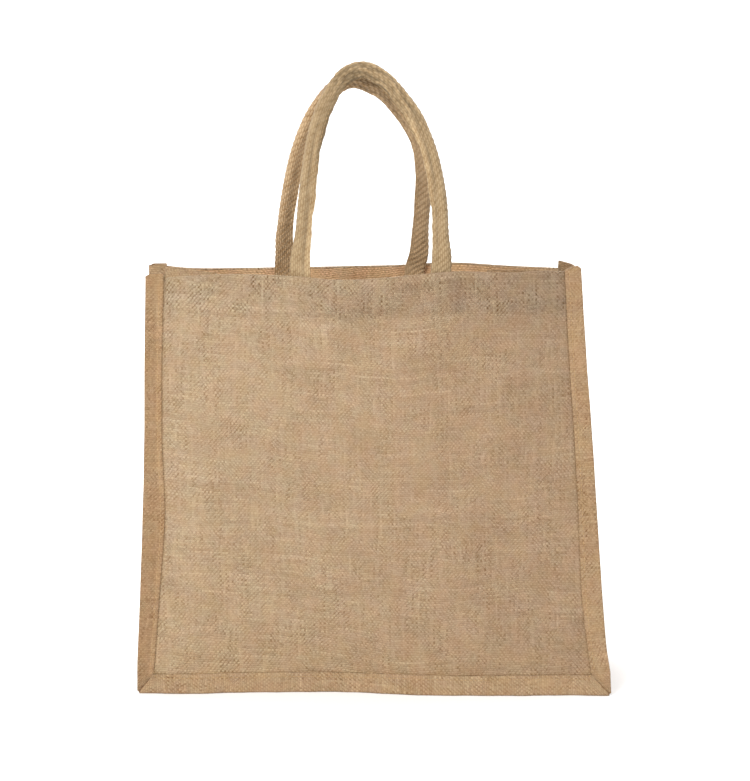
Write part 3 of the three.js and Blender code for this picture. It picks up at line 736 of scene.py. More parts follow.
def border_half(name, station):
    """Half of the gusset's section: the lip, the fold round the panel's edge and the layer behind it."""
    across = station["across"]
    up = station["up"]
    seam = panel_point(name, across, up)
    vector, width, mitred = border_at(name, station)
    normal = panel_normal(name, across, up)
    behind = mix(LIP_OFFSET, HEM_OFFSET, smoothstep(up, SLOT_WIDENS_FROM, HEM_SHARE))
    fold_radius = (LIP_OFFSET + behind) / 2
    fold_middle = (LIP_OFFSET - behind) / 2
    straight = width - HALF_CLOTH - LIP_OFFSET
    seam_rise, edge_rise, corner_drop = station["top"][name] if "top" in station else (0.0, 0.0, 0.0)
    near_mitre = smoothstep(mitred, MITRE_RAISE["from"], MITRE_RAISE["until"])
    raised = MITRE_RAISE["rise"] * near_mitre * (mitred < 1)

    def at(out, offset):
        share = np.atleast_1d(out) / width
        points = seam + vector * share[:, None] + normal * np.atleast_1d(offset)[:, None]
        points[:, 2] += mix(seam_rise, edge_rise, share) - corner_drop * smoothstep(share, *CORNER_SPAN)
        return points

    lip_out = np.concatenate([LIP_CURL["out"], np.linspace(LIP_CURL["out"][-1], straight, LIP_POINTS)[1:]])
    lip_offset = np.full(len(lip_out), LIP_OFFSET + raised)
    lip_offset[: len(LIP_CURL["drop"])] -= LIP_CURL["drop"]
    lip = at(lip_out, lip_offset)
    fold = at(
        straight + LIP_OFFSET * np.cos(EDGE_FOLD_TURNS),
        fold_middle + fold_radius * np.sin(EDGE_FOLD_TURNS),
    )
    layer = at(np.linspace(straight, HALF_CLOTH, LAYER_POINTS), np.full(LAYER_POINTS, -behind))
    turn = at(0, -behind - HALF_CLOTH)
    wall = at(0, -behind - WALL_SPAN)[0] - np.array([0, 0, seam_rise])
    return np.vstack([lip, fold, layer, turn]), wall, mitred


def wall_points(station, front_wall, back_wall):
    """The gusset's wall: it tucks in along the sides and hangs down along the foot."""
    shares = np.linspace(0, 1, WALL_POINTS)
    across = station["across"]
    height = height_at(station["up"])
    way = 1 if across == 0 else -1
    if station["up"] == 0:
        inward = np.array([0, 0, -DEEPEST_SAG * math.sin(math.pi * across)])
        sharpness = SAG_SHARPNESS
        normal = np.array([0, 0, 1.0])
        place = mix(-FOOT_HALF, FOOT_HALF, across)
        strength = WAVES_FADE["foot"]
    else:
        side = LEFT_SIDE if across == 0 else RIGHT_SIDE
        inward = np.array([way * read(side, "height", "fold", height), 0, 0])
        sharpness = TUCK_SHARPNESS
        normal = np.array([way, 0, 0])
        place = -way * (FOOT_HALF + height)
        strength = smoothstep(np.linalg.norm(inward), 0, WAVES_FADE["depth"])
    tuck = 1 - np.abs(2 * shares - 1) ** sharpness
    points = mix(front_wall, back_wall, shares[:, None]) + inward * tuck[:, None]
    for wave in WALL_WAVES:
        arch = np.sin(math.pi * shares * wave["across"]) * np.sin(math.pi * shares)
        points = points + normal * (wave["rise"] * strength * sine(wave, place) * arch)[:, None]
    if "top" in station:
        points[:, 2] += station["top"]["dip"] * tuck
    return points


def build_gusset(material):
    """One strip in three parts, each with the weave along its own length."""
    stations = seam_stations(RIGHT_SIDE["x"][0] - LEFT_SIDE["x"][0])
    first = {**stations[0], "top": BORDER_TOPS["left"]}
    last = {**stations[-1], "top": BORDER_TOPS["right"]}
    stations = [first, *stations, last]
    lip_edge = len(LIP_CURL["out"])
    border = lip_edge + LIP_POINTS + 2
    rows = []
    tints = []
    for station in stations:
        part = station["part"]
        front, front_wall, mitred = border_half("front", station)
        back, back_wall, _ = border_half("back", station)
        rows.append(np.vstack([front, wall_points(station, front_wall, back_wall), back[::-1]]))
        # Painted shade along the mitre's crease
        tone = BORDER_TONES[part] * (MITRE_PAINTED_SHADE if mitred == 1 else 1)
        tint = browned(np.full(len(rows[-1]), tone))
        # A painted highlight on the lip's edge beside the seam
        tint[:lip_edge] *= LIP_PAINTED_HIGHLIGHT[part]
        tint[-lip_edge:] *= LIP_PAINTED_HIGHLIGHT[part]
        tint[border:-border] = WALL_TINT
        if part == "right" and station["up"] > SHADED_FROM:
            tint[-len(back) : LAYER_POINTS + 1 - len(back)] *= RIGHT_TOP_TINT
        tints.append(tint)
    rows = np.array(rows)

    def mapped(row, part):
        travel = travelled(row)
        along = {"left": -row[:, 2] - RIM_HEIGHT, "foot": row[:, 0], "right": row[:, 2] + RIM_HEIGHT}
        return np.stack([travel - travel[-1] / 2, along[part]], -1)

    parts = [station["part"] for station in stations]
    uv = np.array([mapped(row, part) for row, part in zip(rows, parts)])
    uv_after = np.array([mapped(row, part) for row, part in zip(rows, [*parts[1:], "right"])])
    return thick_sheet("gusset_cloth", rows, CLOTH, material, uv, np.array(tints), uv_after)


# Handles


def smooth_path(points):
    """Points close together on a centripetal curve through the given ones, with their tangents."""
    ends = np.vstack([2 * points[0] - points[1], points, 2 * points[-1] - points[-2]])
    share = np.linspace(0, 1, PATH_PARTS, endpoint=False)[:, None]
    dense = []
    for k in range(len(points) - 1):
        p0, p1, p2, p3 = ends[k : k + 4]
        gaps = [math.sqrt(np.linalg.norm(b - a)) for a, b in ((p0, p1), (p1, p2), (p2, p3))]
        slope_in = (p1 - p0) / gaps[0] - (p2 - p0) / (gaps[0] + gaps[1]) + (p2 - p1) / gaps[1]
        slope_out = (p2 - p1) / gaps[1] - (p3 - p1) / (gaps[1] + gaps[2]) + (p3 - p2) / gaps[2]
        dense.append(hermite(p1, slope_in * gaps[1], p2, slope_out * gaps[1], share))
    dense = np.vstack(dense + [points[-1:]])
    travel = travelled(dense)
    even = np.linspace(0, travel[-1], steps(travel[-1], RING_STEP) + 1)
    kernel = np.hanning(PATH_SMOOTHING)
    kernel /= kernel.sum()
    beyond = PATH_SMOOTHING // 2
    path = points_at(even, travel, dense)
    padded = np.pad(path, ((beyond, beyond), (0, 0)), mode="reflect", reflect_type="odd")
    path = np.stack([np.convolve(padded[:, axis], kernel, mode="valid") for axis in range(3)], -1)
    return path, unit(np.gradient(path, axis=0)), even


def whole_section(half):
    """The webbing's middle line from one selvedge round to the other, evenly along its width."""
    out = np.array(half["out"] + half["out"][-2::-1])
    side = np.array([-value for value in half["side"]] + half["side"][-2::-1])
    table = {"travel": travelled(np.stack([out, side], -1)), "out": out, "side": side}
    even = np.linspace(0, table["travel"][-1], RING_POINTS)
    return np.array([read(table, "travel", column, even) for column in ("out", "side")])


def handle_frames(name):
    """The handle's centre line with its outward and sideways directions and how round it is."""
    clearance = 2 * HEM_FOLD_RADIUS + HALF_CLOTH + HANDLE_GAP + FLAT_HALF

    def tongue(across):
        normal = panel_normal(name, across, HANDLE_END_MIDDLE)
        points = panel_point(name, across, np.array(HANDLE_END_HEIGHTS)) - normal * clearance
        return points, normal * -FACES[name]["way"]

    (left, left_facing), (right, right_facing) = (tongue(across) for across in HANDLE_ENDS[name])
    table = HANDLE_PATHS[name]
    above = np.stack([table["x"], table["y"], table["z"]], -1) + MIDDLE
    path, tangents, travel = smooth_path(np.vstack([left, above, right[::-1]]))
    top = above[np.argmax(above[:, 2])]
    lean = np.array([0, top[1] - left[-1][1], top[2] - left[-1][2]])
    loop_facing = unit(np.cross([1.0, 0, 0], lean))
    roundness = smoothstep(path[:, 2] - RIM_HEIGHT, FLAT_UNTIL, ROUND_FROM)[:, None]
    on_left = (np.arange(len(path)) < len(path) / 2)[:, None]
    facing = mix(np.where(on_left, left_facing, right_facing), loop_facing, roundness)
    out = unit(np.cross(facing, tangents))
    side = unit(np.cross(tangents, out))
    return path, out, side, roundness, travel


def build_handle(name, material):
    """The folded webbing along its centre line, with creases, crumples and a swaying fin."""
    path, out, side, roundness, travel = handle_frames(name)
    bunched = read(BUNCHED, "share", "amount", travel / travel[-1])[:, None]
    flat, tube, gathered = (
        whole_section(half)[:, None] for half in (FLAT_HALF_SECTION, TUBE_HALF, BUNCHED_HALF)
    )
    section_out, section_side = mix(flat, mix(tube, gathered, bunched), roundness)
    rows = (
        path[:, None]
        + out[:, None] * section_out[..., None]
        + side[:, None] * section_side[..., None]
    )
    along, strip = np.meshgrid(travel, np.linspace(0, WEBBING_WIDTH, RING_POINTS), indexing="ij")
    crumpled = np.zeros(along.shape)
    for crumple in CRUMPLES:
        turn = math.tau * strip / crumple["strip"] + crumple["bend"] * sine(crumple, along)
        crumpled = crumpled + crumple["rise"] * bunched * np.sin(turn)
    creases = named(CREASE_COLUMNS, HANDLE_CREASES[name])
    rise = crumpled + sum(crease["rise"] * on_strip(crease, along, strip) for crease in creases)
    rows = rows + rise[..., None] * row_normals(rows)
    from_selvedge = np.minimum(strip, WEBBING_WIDTH - strip)
    in_fin = roundness * smoothstep(FIN["sways_from"] - from_selvedge, 0, FIN["until"])
    for sway in FIN_SWAY:
        swing = sine(sway, along) * in_fin * FIN_SWAY_SHARE[name]
        rows = rows + side[:, None] * (sway["side"] * swing)[..., None]
        rows = rows + out[:, None] * (sway["out"] * swing)[..., None]
    climb = RIB_SLOPE * np.abs(strip - WEBBING_WIDTH / 2)
    ribs = np.cos(math.tau * (along + climb) / RIB_PERIOD)
    lift = RIB_HEIGHT * ribs * smoothstep(from_selvedge, FIN["until"], FIN["until"] + 1)
    # Painted shade in the crumples' hollows and painted light on their crests
    shade = np.exp(CRUMPLE_PAINTED_SHADE * crumpled)
    # Painted shade in the handle's grooves, recesses and shaded edges, and painted light on its lit fins
    for spot in named(SHADE_COLUMNS, HANDLE_PAINTED_SHADE_AND_LIGHT[name]):
        shade = shade * mix(1, spot["tone"], on_strip(spot, along, strip))
    contrast = read(RIB_CONTRAST, "share", name, along / travel[-1])
    # The whole handle is lit up or darkened by painted light and shade
    tint = np.concatenate([shade[..., None] * HANDLE_PAINTED_LIGHT[name], contrast[..., None]], -1)
    uv = np.stack([strip, along], -1)
    return thick_sheet(f"{name}_handle_webbing", rows, WEBBING, material, uv, tint, lift=lift)


# Stitches and fibres, as thin closed tubes

# A stitch starts at a share of its pitch. It rises, sinks and ends by shares of its radius.
STITCH = {"pitch": 4.6, "length": 3.4, "start": 0.2, "rise": 1.1, "sunk": 0.5, "end": 0.45}
STITCH_RINGS = 6
STITCH_SIDES = 6
BORDER_STITCH = {"in_from_edge": 2.6, "lines": 90, "radius": 0.32}
FIN_STITCH = {"in": 6.9, "beside": 1.55, "round_from": 0.9, "radius": 0.28}

# A fibre stands off and curls by shares of its length
FIBRE = {"shortest": 0.35, "stand": 0.45, "curl": 0.35, "arch": 0.6, "root": 0.09, "tip": 0.03}
FIBRE_RINGS = 4
FIBRE_SIDES = 3
FIBRE_ABOVE_FLOOR = 0.4


def tubes(name, centres, normals, radius, sides, material):
    """One object of many tubes, from a row of centres for each and a radius for each place in a row."""
    along = unit(np.gradient(centres, axis=1))
    across = unit(np.cross(along, normals))
    above = np.cross(across, along)
    turns = np.arange(sides) * math.tau / sides
    rings = centres[:, :, None] + radius[:, None, None] * (
        across[:, :, None] * np.cos(turns)[:, None] + above[:, :, None] * np.sin(turns)[:, None]
    )
    count, levels = centres.shape[:2]
    base = levels * sides * np.arange(count)[:, None]
    corner = np.arange(sides)
    faces = []
    for level in range(levels - 1):
        low = base + sides * level + corner
        next_low = base + sides * level + (corner + 1) % sides
        faces += np.stack([low, low + sides, next_low + sides, next_low], -1).reshape(-1, 4).tolist()
    faces += (base + corner).tolist()
    faces += (base + sides * (levels - 1) + corner)[:, ::-1].tolist()
    return mesh_object(name, rings.reshape(-1, 3), faces, material)


def stitches(name, path, normals, radius, material):
    """Short raised threads along a line on the cloth, each sunk at both its ends."""
    travel = travelled(path)
    starts = STITCH["pitch"] * (np.arange(travel[-1] // STITCH["pitch"]) + STITCH["start"])
    shares = np.linspace(0, 1, STITCH_RINGS)
    arch = np.sin(math.pi * shares)
    places = starts[:, None] + STITCH["length"] * shares
    normal = unit(points_at(places, travel, normals))
    raised = radius * (STITCH["rise"] * arch - STITCH["sunk"])
    centres = points_at(places, travel, path) + normal * raised[:, None]
    return tubes(name, centres, normal, radius * mix(STITCH["end"], 1, arch), STITCH_SIDES, material)


def border_line(name):
    """Points and normals on the outer face of the border, down one side, along the foot and up."""
    ups = np.linspace(1, 0, BORDER_STITCH["lines"])
    lines = np.linspace(0, 1, BORDER_STITCH["lines"])
    places = [(0.0, up) for up in ups[:-2]]
    places += [(across, 0.0) for across in lines[1:-1]]
    places += [(1.0, up) for up in ups[-3::-1]]
    points = []
    normals = []
    for across, up in places:
        vector = foot_border(name, across) if up == 0 else side_border(name, across, up)
        normal = panel_normal(name, across, up)
        inward = unit(vector) * BORDER_STITCH["in_from_edge"]
        points.append(panel_point(name, across, up) + inward + normal * (LIP_OFFSET + HALF_CLOTH))
        normals.append(normal)
    return np.array(points), np.array(normals)


def fibres(name, source, count, longest, material, seed):
    """Stray fibres that stand off a cloth's surface, each a thin curved sliver."""
    random = np.random.default_rng(seed)
    mesh = source.data
    points = np.empty(len(mesh.vertices) * 3, np.float32)
    normals = np.empty(len(mesh.vertices) * 3, np.float32)
    mesh.vertices.foreach_get("co", points)
    mesh.vertex_normals.foreach_get("vector", normals)
    chosen = random.choice(len(mesh.vertices), count)
    root = points.reshape(-1, 3)[chosen] / MM
    normal = normals.reshape(-1, 3)[chosen]
    drift = unit(random.normal(size=(count, 3)))
    length = longest * random.uniform(FIBRE["shortest"], 1, (count, 1))
    curl = unit(random.normal(size=(count, 3)))
    shares = np.linspace(0, 1, FIBRE_RINGS)[:, None]
    lie = unit(drift - normal * (drift * normal).sum(1, keepdims=True) + normal * FIBRE["stand"])
    centres = root[:, None] + lie[:, None] * length[:, None] * shares
    centres = centres + curl[:, None] * length[:, None] * FIBRE["curl"] * shares**2
    centres = centres + normal[:, None] * FIBRE["arch"] * np.sin(math.pi * shares)
    clear = centres[..., 2].min(axis=1) > FIBRE_ABOVE_FLOOR
    radius = mix(FIBRE["root"], FIBRE["tip"], shares[:, 0])
    return tubes(name, centres[clear], normal[clear][:, None], radius, FIBRE_SIDES, material)


# Materials

# The middle shades of the cloths and the shades of thread and fibre, as display values out of 255
SHADES = {
    "panel": (157, 129, 91),
    "gusset": (154, 121, 77),
    "webbing": (159, 132, 88),
    "thread": (172, 140, 98),
    "fibre": (198, 172, 135),
}

# How far a cloth's tone 0 and 1 lie from its middle shade, and the tone of that middle shade
TONE_REACH = np.array([63, 68, 75])
TONE_MIDDLE = 0.37

# The hessian's yarns: how far apart they lie in millimetres, and how they wander by two noises, each
# with its scale, its detail and its reach in metres
YARNS = {
    "warp": {"pitch": 1.84, "wander": ((14.0, 2.0, 0.009), (190.0, 1.0, 0.0019))},
    "weft": {"pitch": 2.15, "wander": ((11.0, 2.0, 0.014), (170.0, 1.0, 0.0021))},
}
# How fast the shade changes from yarn to yarn, which at a whole number would leave all of them alike,
# and along a yarn
YARN_NOISE = 1.37
YARN_CHANGE = {"warp": 0.03, "weft": 0.02}
# How high the yarns stand and how they bulge
YARN_RELIEF = {"warp": 0.38, "weft": 0.7, "over": 0.42}
YARN_ROUNDNESS = 0.6
# Where the crossings lean to one side, where the weave is crisp and where the cloth is lighter
LEAN = {"scale": 40.0, "slope": -0.35}
CRISPNESS_NOISE = 34.0
BROAD_NOISE = {"scale": 24.0, "detail": 3.0}
# Layers of the noise, so that turned places and weft yarns don't repeat what the warp has
TURNED_LAYER = 3.0
WEFT_LAYER = 9.0
# Darkens what differs from the middle tone, so that pits stand out more than lights
PIT_WEIGHT = -0.9
# What each part of the weave is read from and turned into: from low and high, to low and high
WEAVE = {
    "slant": (0.36, 0.64, 0.38, 0.7),
    "crispness": (0.35, 0.65, 0.5, 0.95),
    "warp_in_front": (-0.5, 0.5, 0.0, 1.0),
    "yarn": (0.3, 0.7, -0.08, 0.07),
    "slub": (0.6, 0.78, 0.0, 0.055),
    "knot": (0.0, 1.0, -0.08, 0.06),
    "face": (-0.5, 0.8, 0.07, -0.07),
    "pit": (0.05, 0.42, -0.18, 0.03),
    "broad": (0.3, 0.7, TONE_MIDDLE - 0.024, TONE_MIDDLE + 0.024),
    "cast": (0.36, 0.64, 0.0, 1.0),
}
# The casts between which the cloth wanders
CASTS = {
    "warm": {"scale": 75.0, "from": (1.018, 0.998, 0.97, 1.0), "to": (0.982, 1.002, 1.03, 1.0)},
    "pink": {"scale": 55.0, "from": (1.006, 0.988, 1.008, 1.0), "to": (0.994, 1.012, 0.992, 1.0)},
}

# The webbing's noises: how its ribs wander in metres, how its yarns are roughened, its fine hairs and
# its broad shades. Its ranges are written as those of the weave.
RIB_WANDER = {"scale": 130.0, "reach": 0.003}
ROUGHENED = {"scale": 620.0, "rise": 0.4}
HAIRS = {"stretch": 3.0, "scale": 900.0}
RIB_TONE_NOISE = {"scale": 110.0, "detail": 3.0}
RIBS = {
    "ridge": (0.0, 0.8, 0.3, 1.0),
    "wave": (-1.0, 0.7, 0.45, 1.0),
    "broad": (0.3, 0.7, TONE_MIDDLE - 0.06, TONE_MIDDLE + 0.06),
    "hair": (0.25, 0.75, -0.07, 0.07),
    "height": (0.3, 1.1, -0.17, 0.09),
}

# The distance in metres and the strength of each bump, and what all surfaces have in common
BUMPS = {"hessian": (0.0008, 1.0), "webbing": (0.0005, 0.8)}
MATT = {"Specular IOR Level": 0.15, "Sheen Roughness": 0.5}


class Value:
    """What a node gives out. It adds, subtracts, multiplies and divides through further nodes."""

    def __init__(self, shader, socket):
        self.shader = shader
        self.socket = socket

    def __add__(self, other):
        return self.shader.math("ADD", self, other)

    def __sub__(self, other):
        return self.shader.math("SUBTRACT", self, other)

    def __rsub__(self, other):
        return self.shader.math("SUBTRACT", other, self)

    def __mul__(self, other):
        return self.shader.math("MULTIPLY", self, other)

    def __truediv__(self, other):
        return self.shader.math("DIVIDE", self, other)


class Shader:
    """A material whose nodes are written as sums and products."""

    def __init__(self, name, roughness, sheen=0.0):
        self.material = bpy.data.materials.new(name)
        self.material.use_nodes = True
        self.tree = self.material.node_tree
        self.surface = self.tree.nodes["Principled BSDF"]
        self.complete({**MATT, "Roughness": roughness, "Sheen Weight": sheen})

    def complete(self, inputs):
        """Feeds the surface's own sockets and hands back the material."""
        for key, value in inputs.items():
            self.feed(self.surface.inputs[key], value)
        return self.material

    def feed(self, socket, value):
        if isinstance(value, Value):
            self.tree.links.new(value.socket, socket)
        else:
            socket.default_value = value

    def node(self, kind, output, inputs=None, **settings):
        """What one output of a new node gives."""
        made = self.tree.nodes.new(f"ShaderNode{kind}")
        for key, value in settings.items():
            setattr(made, key, value)
        for key, value in (inputs or {}).items():
            self.feed(made.inputs[key], value)
        return Value(self, made.outputs[output])

    def math(self, operation, *values):
        return self.node("Math", 0, dict(enumerate(values)), operation=operation)

    def noise(self, vector, scale, detail=2.0):
        return self.node("TexNoise", "Fac", {"Vector": vector, "Scale": scale, "Detail": detail})

    def vector(self, x, y, z=0.0):
        return self.node("CombineXYZ", 0, {"X": x, "Y": y, "Z": z})

    def span(self, value, low, high, to_low, to_high):
        inputs = {"Value": value, "From Min": low, "From Max": high, "To Min": to_low, "To Max": to_high}
        return self.node("MapRange", 0, inputs, interpolation_type="SMOOTHSTEP")

    def coloured(self, colour, tint):
        return self.node("VectorMath", 0, {0: colour, 1: tint}, operation="MULTIPLY")

    def blend(self, factor, first, second):
        return self.node("Mix", "Result", {"Factor": factor, "A": first, "B": second}, data_type="RGBA")

    def toned(self, tone, middle):
        """A colour from a dark rich shade at 0 to a pale one at 1."""
        dark, light = (linear(middle + way * TONE_REACH) for way in (-1, 1))
        return self.blend(tone, dark, light)

    def bump(self, height, distance, strength):
        return self.node("Bump", "Normal", {"Height": height, "Distance": distance, "Strength": strength})

    def painted(self, output):
        """The mesh's tint, which holds its painted light and shade, as Color, or its contrast as Alpha."""
        return self.node("Attribute", output, attribute_name=TINT_NAME)

    def cloth_place(self):
        """The place on the flat cloth in metres, whole, across and along."""
        uv = self.node("UVMap", "UV", uv_map=UV_NAME)
        return uv, *(self.node("SeparateXYZ", axis, {"Vector": uv}) for axis in ("X", "Y"))


def linear(shades):
    """A colour from its display values out of 255."""
    values = np.array(shades) / 255
    light = np.where(values <= 0.04045, values / 12.92, ((values + 0.055) / 1.055) ** 2.4)
    return (*(float(value) for value in light), 1.0)


def hessian(name, middle):
    """Plain-woven jute: warp and weft pass over each other, with slubs, uneven yarns and open pits."""
    shader = Shader(name, roughness=0.9, sheen=0.1)
    uv, u, v = shader.cloth_place()
    turned = shader.vector(v, u, TURNED_LAYER)

    def yarn_count(way, place, vector):
        """How many yarns lie before a place."""
        for scale, detail, reach in YARNS[way]["wander"]:
            place = place + shader.noise(vector, scale, detail) * reach
        return place / (YARNS[way]["pitch"] * MM)

    def body(turn):
        """How far a yarn bulges over its width."""
        return shader.math("POWER", shader.math("ABSOLUTE", shader.math("SINE", turn)), YARN_ROUNDNESS)

    a = yarn_count("warp", u, uv)
    b = yarn_count("weft", v, turned)
    warp_turn = a * math.pi
    weft_turn = b * math.pi
    rising = shader.math("COSINE", warp_turn - weft_turn)
    falling = shader.math("COSINE", warp_turn + weft_turn)
    leaning = shader.noise(uv, LEAN["scale"]) + u * LEAN["slope"]
    slant = shader.span(leaning, *WEAVE["slant"])
    over = slant * rising - (1.0 - slant) * falling
    lift = over * YARN_RELIEF["over"]
    warp = body(warp_turn) * (lift + YARN_RELIEF["warp"])
    weft = body(weft_turn) * (YARN_RELIEF["weft"] - lift)
    crispness = shader.span(shader.noise(uv, CRISPNESS_NOISE), *WEAVE["crispness"])
    crispness = crispness * shader.painted("Alpha")
    height = shader.math("MAXIMUM", warp, weft) * crispness

    warp_cell = shader.math("FLOOR", a)
    weft_cell = shader.math("FLOOR", b)
    warp_yarn = shader.noise(shader.vector(warp_cell, b * YARN_CHANGE["warp"]), YARN_NOISE)
    weft_yarn = shader.noise(shader.vector(a * YARN_CHANGE["weft"], weft_cell, WEFT_LAYER), YARN_NOISE)
    front_yarn = shader.blend(shader.span(over, *WEAVE["warp_in_front"]), weft_yarn, warp_yarn)
    crossing = shader.vector(warp_cell, weft_cell)
    knot = shader.node("TexWhiteNoise", 0, {"Vector": crossing}, noise_dimensions="2D")
    fine = crispness * (
        shader.span(front_yarn, *WEAVE["yarn"])
        + shader.span(knot, *WEAVE["knot"])
        + shader.span(over, *WEAVE["face"])
        + shader.span(height, *WEAVE["pit"])
    )
    broad = shader.span(shader.noise(uv, **BROAD_NOISE), *WEAVE["broad"])
    tone = broad + fine + fine * fine * PIT_WEIGHT
    for yarn in (warp_yarn, weft_yarn):
        tone = tone + shader.span(yarn, *WEAVE["slub"])
    # The mesh's tint brings in its painted light and shade
    colour = shader.coloured(shader.toned(tone, middle), shader.painted("Color"))
    for vector, cast in ((uv, CASTS["warm"]), (turned, CASTS["pink"])):
        share = shader.span(shader.noise(vector, cast["scale"]), *WEAVE["cast"])
        colour = shader.coloured(colour, shader.blend(share, cast["from"], cast["to"]))
    return shader.complete({"Base Color": colour, "Normal": shader.bump(height, *BUMPS["hessian"])})


def webbing_material(name, middle):
    """Herringbone webbing: floats of raised yarn that step up the strip and turn back."""
    shader = Shader(name, roughness=0.85, sheen=0.12)
    uv, u, v = shader.cloth_place()
    yarn = u / (YARN_PITCH * MM)
    yarn_middle = (shader.math("FLOOR", yarn) + 0.5) * YARN_PITCH
    climb = shader.math("ABSOLUTE", yarn_middle - WEBBING_WIDTH / 2) * (RIB_SLOPE * MM)
    wander = shader.noise(uv, RIB_WANDER["scale"]) * RIB_WANDER["reach"]
    wave = shader.math("COSINE", (v + climb + wander) * (math.tau / (RIB_PERIOD * MM)))
    ridge = shader.math("ABSOLUTE", shader.math("SINE", yarn * math.pi))
    height = shader.span(ridge, *RIBS["ridge"]) * shader.span(wave, *RIBS["wave"])
    height = height + shader.noise(uv, ROUGHENED["scale"]) * ROUGHENED["rise"]
    hair = shader.noise(shader.vector(u * HAIRS["stretch"], v), HAIRS["scale"])
    tone = (
        shader.span(shader.noise(uv, **RIB_TONE_NOISE), *RIBS["broad"])
        + shader.span(hair, *RIBS["hair"])
        + shader.span(height, *RIBS["height"]) * shader.painted("Alpha")
    )
    # The mesh's tint brings in its painted light and shade
    colour = shader.coloured(shader.toned(tone, middle), shader.painted("Color"))
    return shader.complete({"Base Color": colour, "Normal": shader.bump(height, *BUMPS["webbing"])})


def mottled(name, colour, roughness, sheen, scale, low, high):
    """A plain colour that a noise makes darker and lighter."""
    shader = Shader(name, roughness, sheen)
    place = shader.node("TexCoord", "Object")
    shade = shader.span(shader.noise(place, scale), 0.3, 0.7, low, high)
    return shader.complete({"Base Color": shader.coloured(colour[:3], shade)})


def thread_material(name, shades):
    return mottled(name, linear(shades), roughness=0.8, sheen=0.2, scale=700.0, low=0.85, high=1.1)


# Floor and light

BACKDROP = {"front": -6.0, "bend": 2.4, "radius": 1.6, "top": 5.0, "half_width": 9.0}
BACKDROP_TURNS = np.linspace(0, math.pi / 2, 25)
WORLD_LIGHT = 0.8


def build_backdrop():
    """A pale floor that bends up into a wall far behind the bag."""
    bend_y = BACKDROP["bend"] + BACKDROP["radius"] * np.sin(BACKDROP_TURNS)
    bend_z = BACKDROP["radius"] * (1 - np.cos(BACKDROP_TURNS))
    profile = [(BACKDROP["front"], 0.0), *zip(bend_y, bend_z), (bend_y[-1], BACKDROP["top"])]
    points = [(x, y, z) for y, z in profile for x in (-BACKDROP["half_width"], BACKDROP["half_width"])]
    faces = [(2 * k, 2 * k + 1, 2 * k + 3, 2 * k + 2) for k in range(len(profile) - 1)]
    pale = mottled("pale_backdrop", (1.0, 1.0, 1.0), 0.8, 0.0, scale=3.0, low=0.94, high=0.955)
    return mesh_object("floor", np.array(points) / MM, faces, pale)


def softbox(name, place, aim, size, power):
    data = bpy.data.lights.new(name, "AREA")
    data.shape = "SQUARE"
    data.size = size
    data.energy = power
    lamp = bpy.data.objects.new(name, data)
    lamp.location = place
    direction = np.array(aim) - np.array(place)
    lamp.rotation_euler = (
        math.atan2(math.hypot(direction[0], direction[1]), -direction[2]),
        0,
        math.atan2(-direction[0], direction[1]),
    )
    bpy.context.scene.collection.objects.link(lamp)


# The model

panel_hessian = hessian("panel_hessian", SHADES["panel"])
gusset_hessian = hessian("gusset_hessian", SHADES["gusset"])
webbing = webbing_material("handle_webbing", SHADES["webbing"])
thread = thread_material("sewing_thread", SHADES["thread"])
fibre = thread_material("jute_fibre", SHADES["fibre"])

panels = {name: build_panel(name, panel_hessian) for name in ("front", "back")}
gusset = build_gusset(gusset_hessian)
handles = {name: build_handle(name, webbing) for name in ("front", "back")}

for name, piece in panels.items():
    finished(piece, "panel", f"{name}_panel")
finished(gusset, "gusset", "gusset")
for name, piece in handles.items():
    finished(piece, "handle", f"handle_{name}")

# The stitches that show lie on the border near its inner edge, and on both sides of each fin
for name in ("front", "back"):
    line, line_normals = border_line(name)
    piece = stitches(f"{name}_border_stitches", line, line_normals, BORDER_STITCH["radius"], thread)
    finished(piece, "gusset")

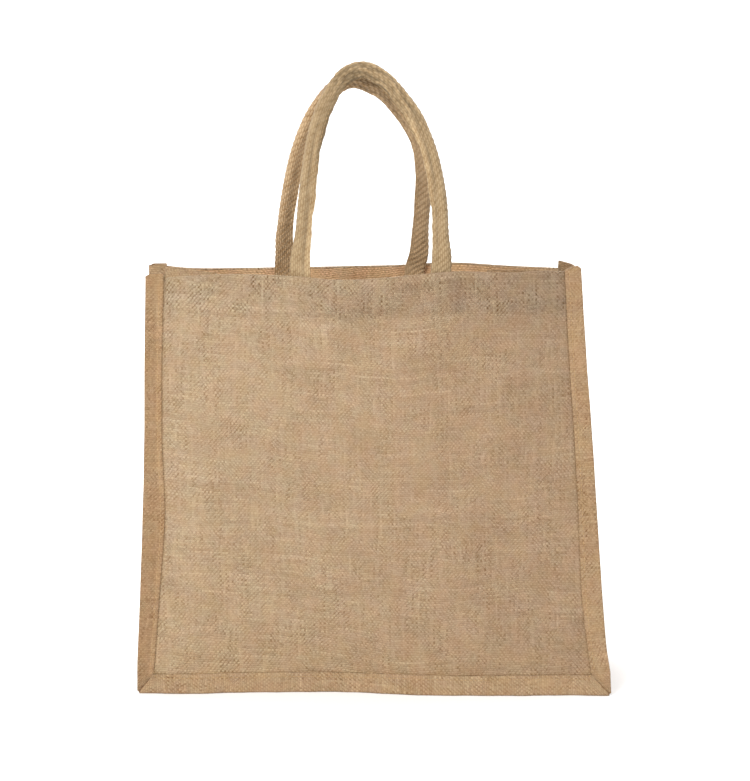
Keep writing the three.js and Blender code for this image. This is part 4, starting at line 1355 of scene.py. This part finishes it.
for name in ("front", "back"):
    path, out, side, roundness, _ = handle_frames(name)
    tube = roundness[:, 0] > FIN_STITCH["round_from"]
    for where, way in (("outer", -1), ("inner", 1)):
        sideways = side[tube] * way
        line = path[tube] - out[tube] * FIN_STITCH["in"] + sideways * FIN_STITCH["beside"]
        piece = stitches(f"{name}_handle_stitches_{where}", line, sideways, FIN_STITCH["radius"], thread)
        finished(piece, "handle")

stray = [
    ("front_panel_fibres", "panel", panels["front"], 420, 4.0, 11),
    ("back_panel_fibres", "panel", panels["back"], 360, 4.0, 12),
    ("gusset_fibres", "gusset", gusset, 420, 4.0, 13),
    ("front_handle_fibres", "handle", handles["front"], 320, 3.0, 14),
    ("back_handle_fibres", "handle", handles["back"], 320, 3.0, 15),
]
for name, slot, source, count, longest, seed in stray:
    finished(fibres(name, source, count, longest, fibre, seed), slot)

# Floor, light and camera

build_backdrop()

scene = bpy.context.scene
world = bpy.data.worlds.new("studio")
scene.world = world
world.use_nodes = True
background = world.node_tree.nodes["Background"]
background.inputs["Color"].default_value = (1.0, 1.0, 1.0, 1.0)
background.inputs["Strength"].default_value = WORLD_LIGHT
scene.view_settings.view_transform = "Standard"

softbox("key", place=(-1.65, -2.65, 2.65), aim=(0, 0, 0.3), size=1.8, power=110)
softbox("fill", place=(2.4, -2.6, 1.6), aim=(0, 0, 0.3), size=2.2, power=20)
softbox("wall_wash", place=(0, 1.4, 4.2), aim=(0, 4.0, 1.4), size=2.4, power=160)

# The camera stands before and above the bag's middle, in millimetres, and looks down by degrees
CAMERA = {"distance": 2655.0, "height": 650.0, "down": 7.903, "lens": 126.91, "sensor": 36.0}
camera_data = bpy.data.cameras.new("camera")
camera_data.lens = CAMERA["lens"]
camera_data.sensor_width = CAMERA["sensor"]
camera_data.clip_end = 100
camera = bpy.data.objects.new("camera", camera_data)
camera.location = (MIDDLE + np.array([0, -CAMERA["distance"], CAMERA["height"]])) * MM
camera.rotation_euler = (math.radians(90 - CAMERA["down"]), 0, 0)
scene.collection.objects.link(camera)
scene.camera = camera
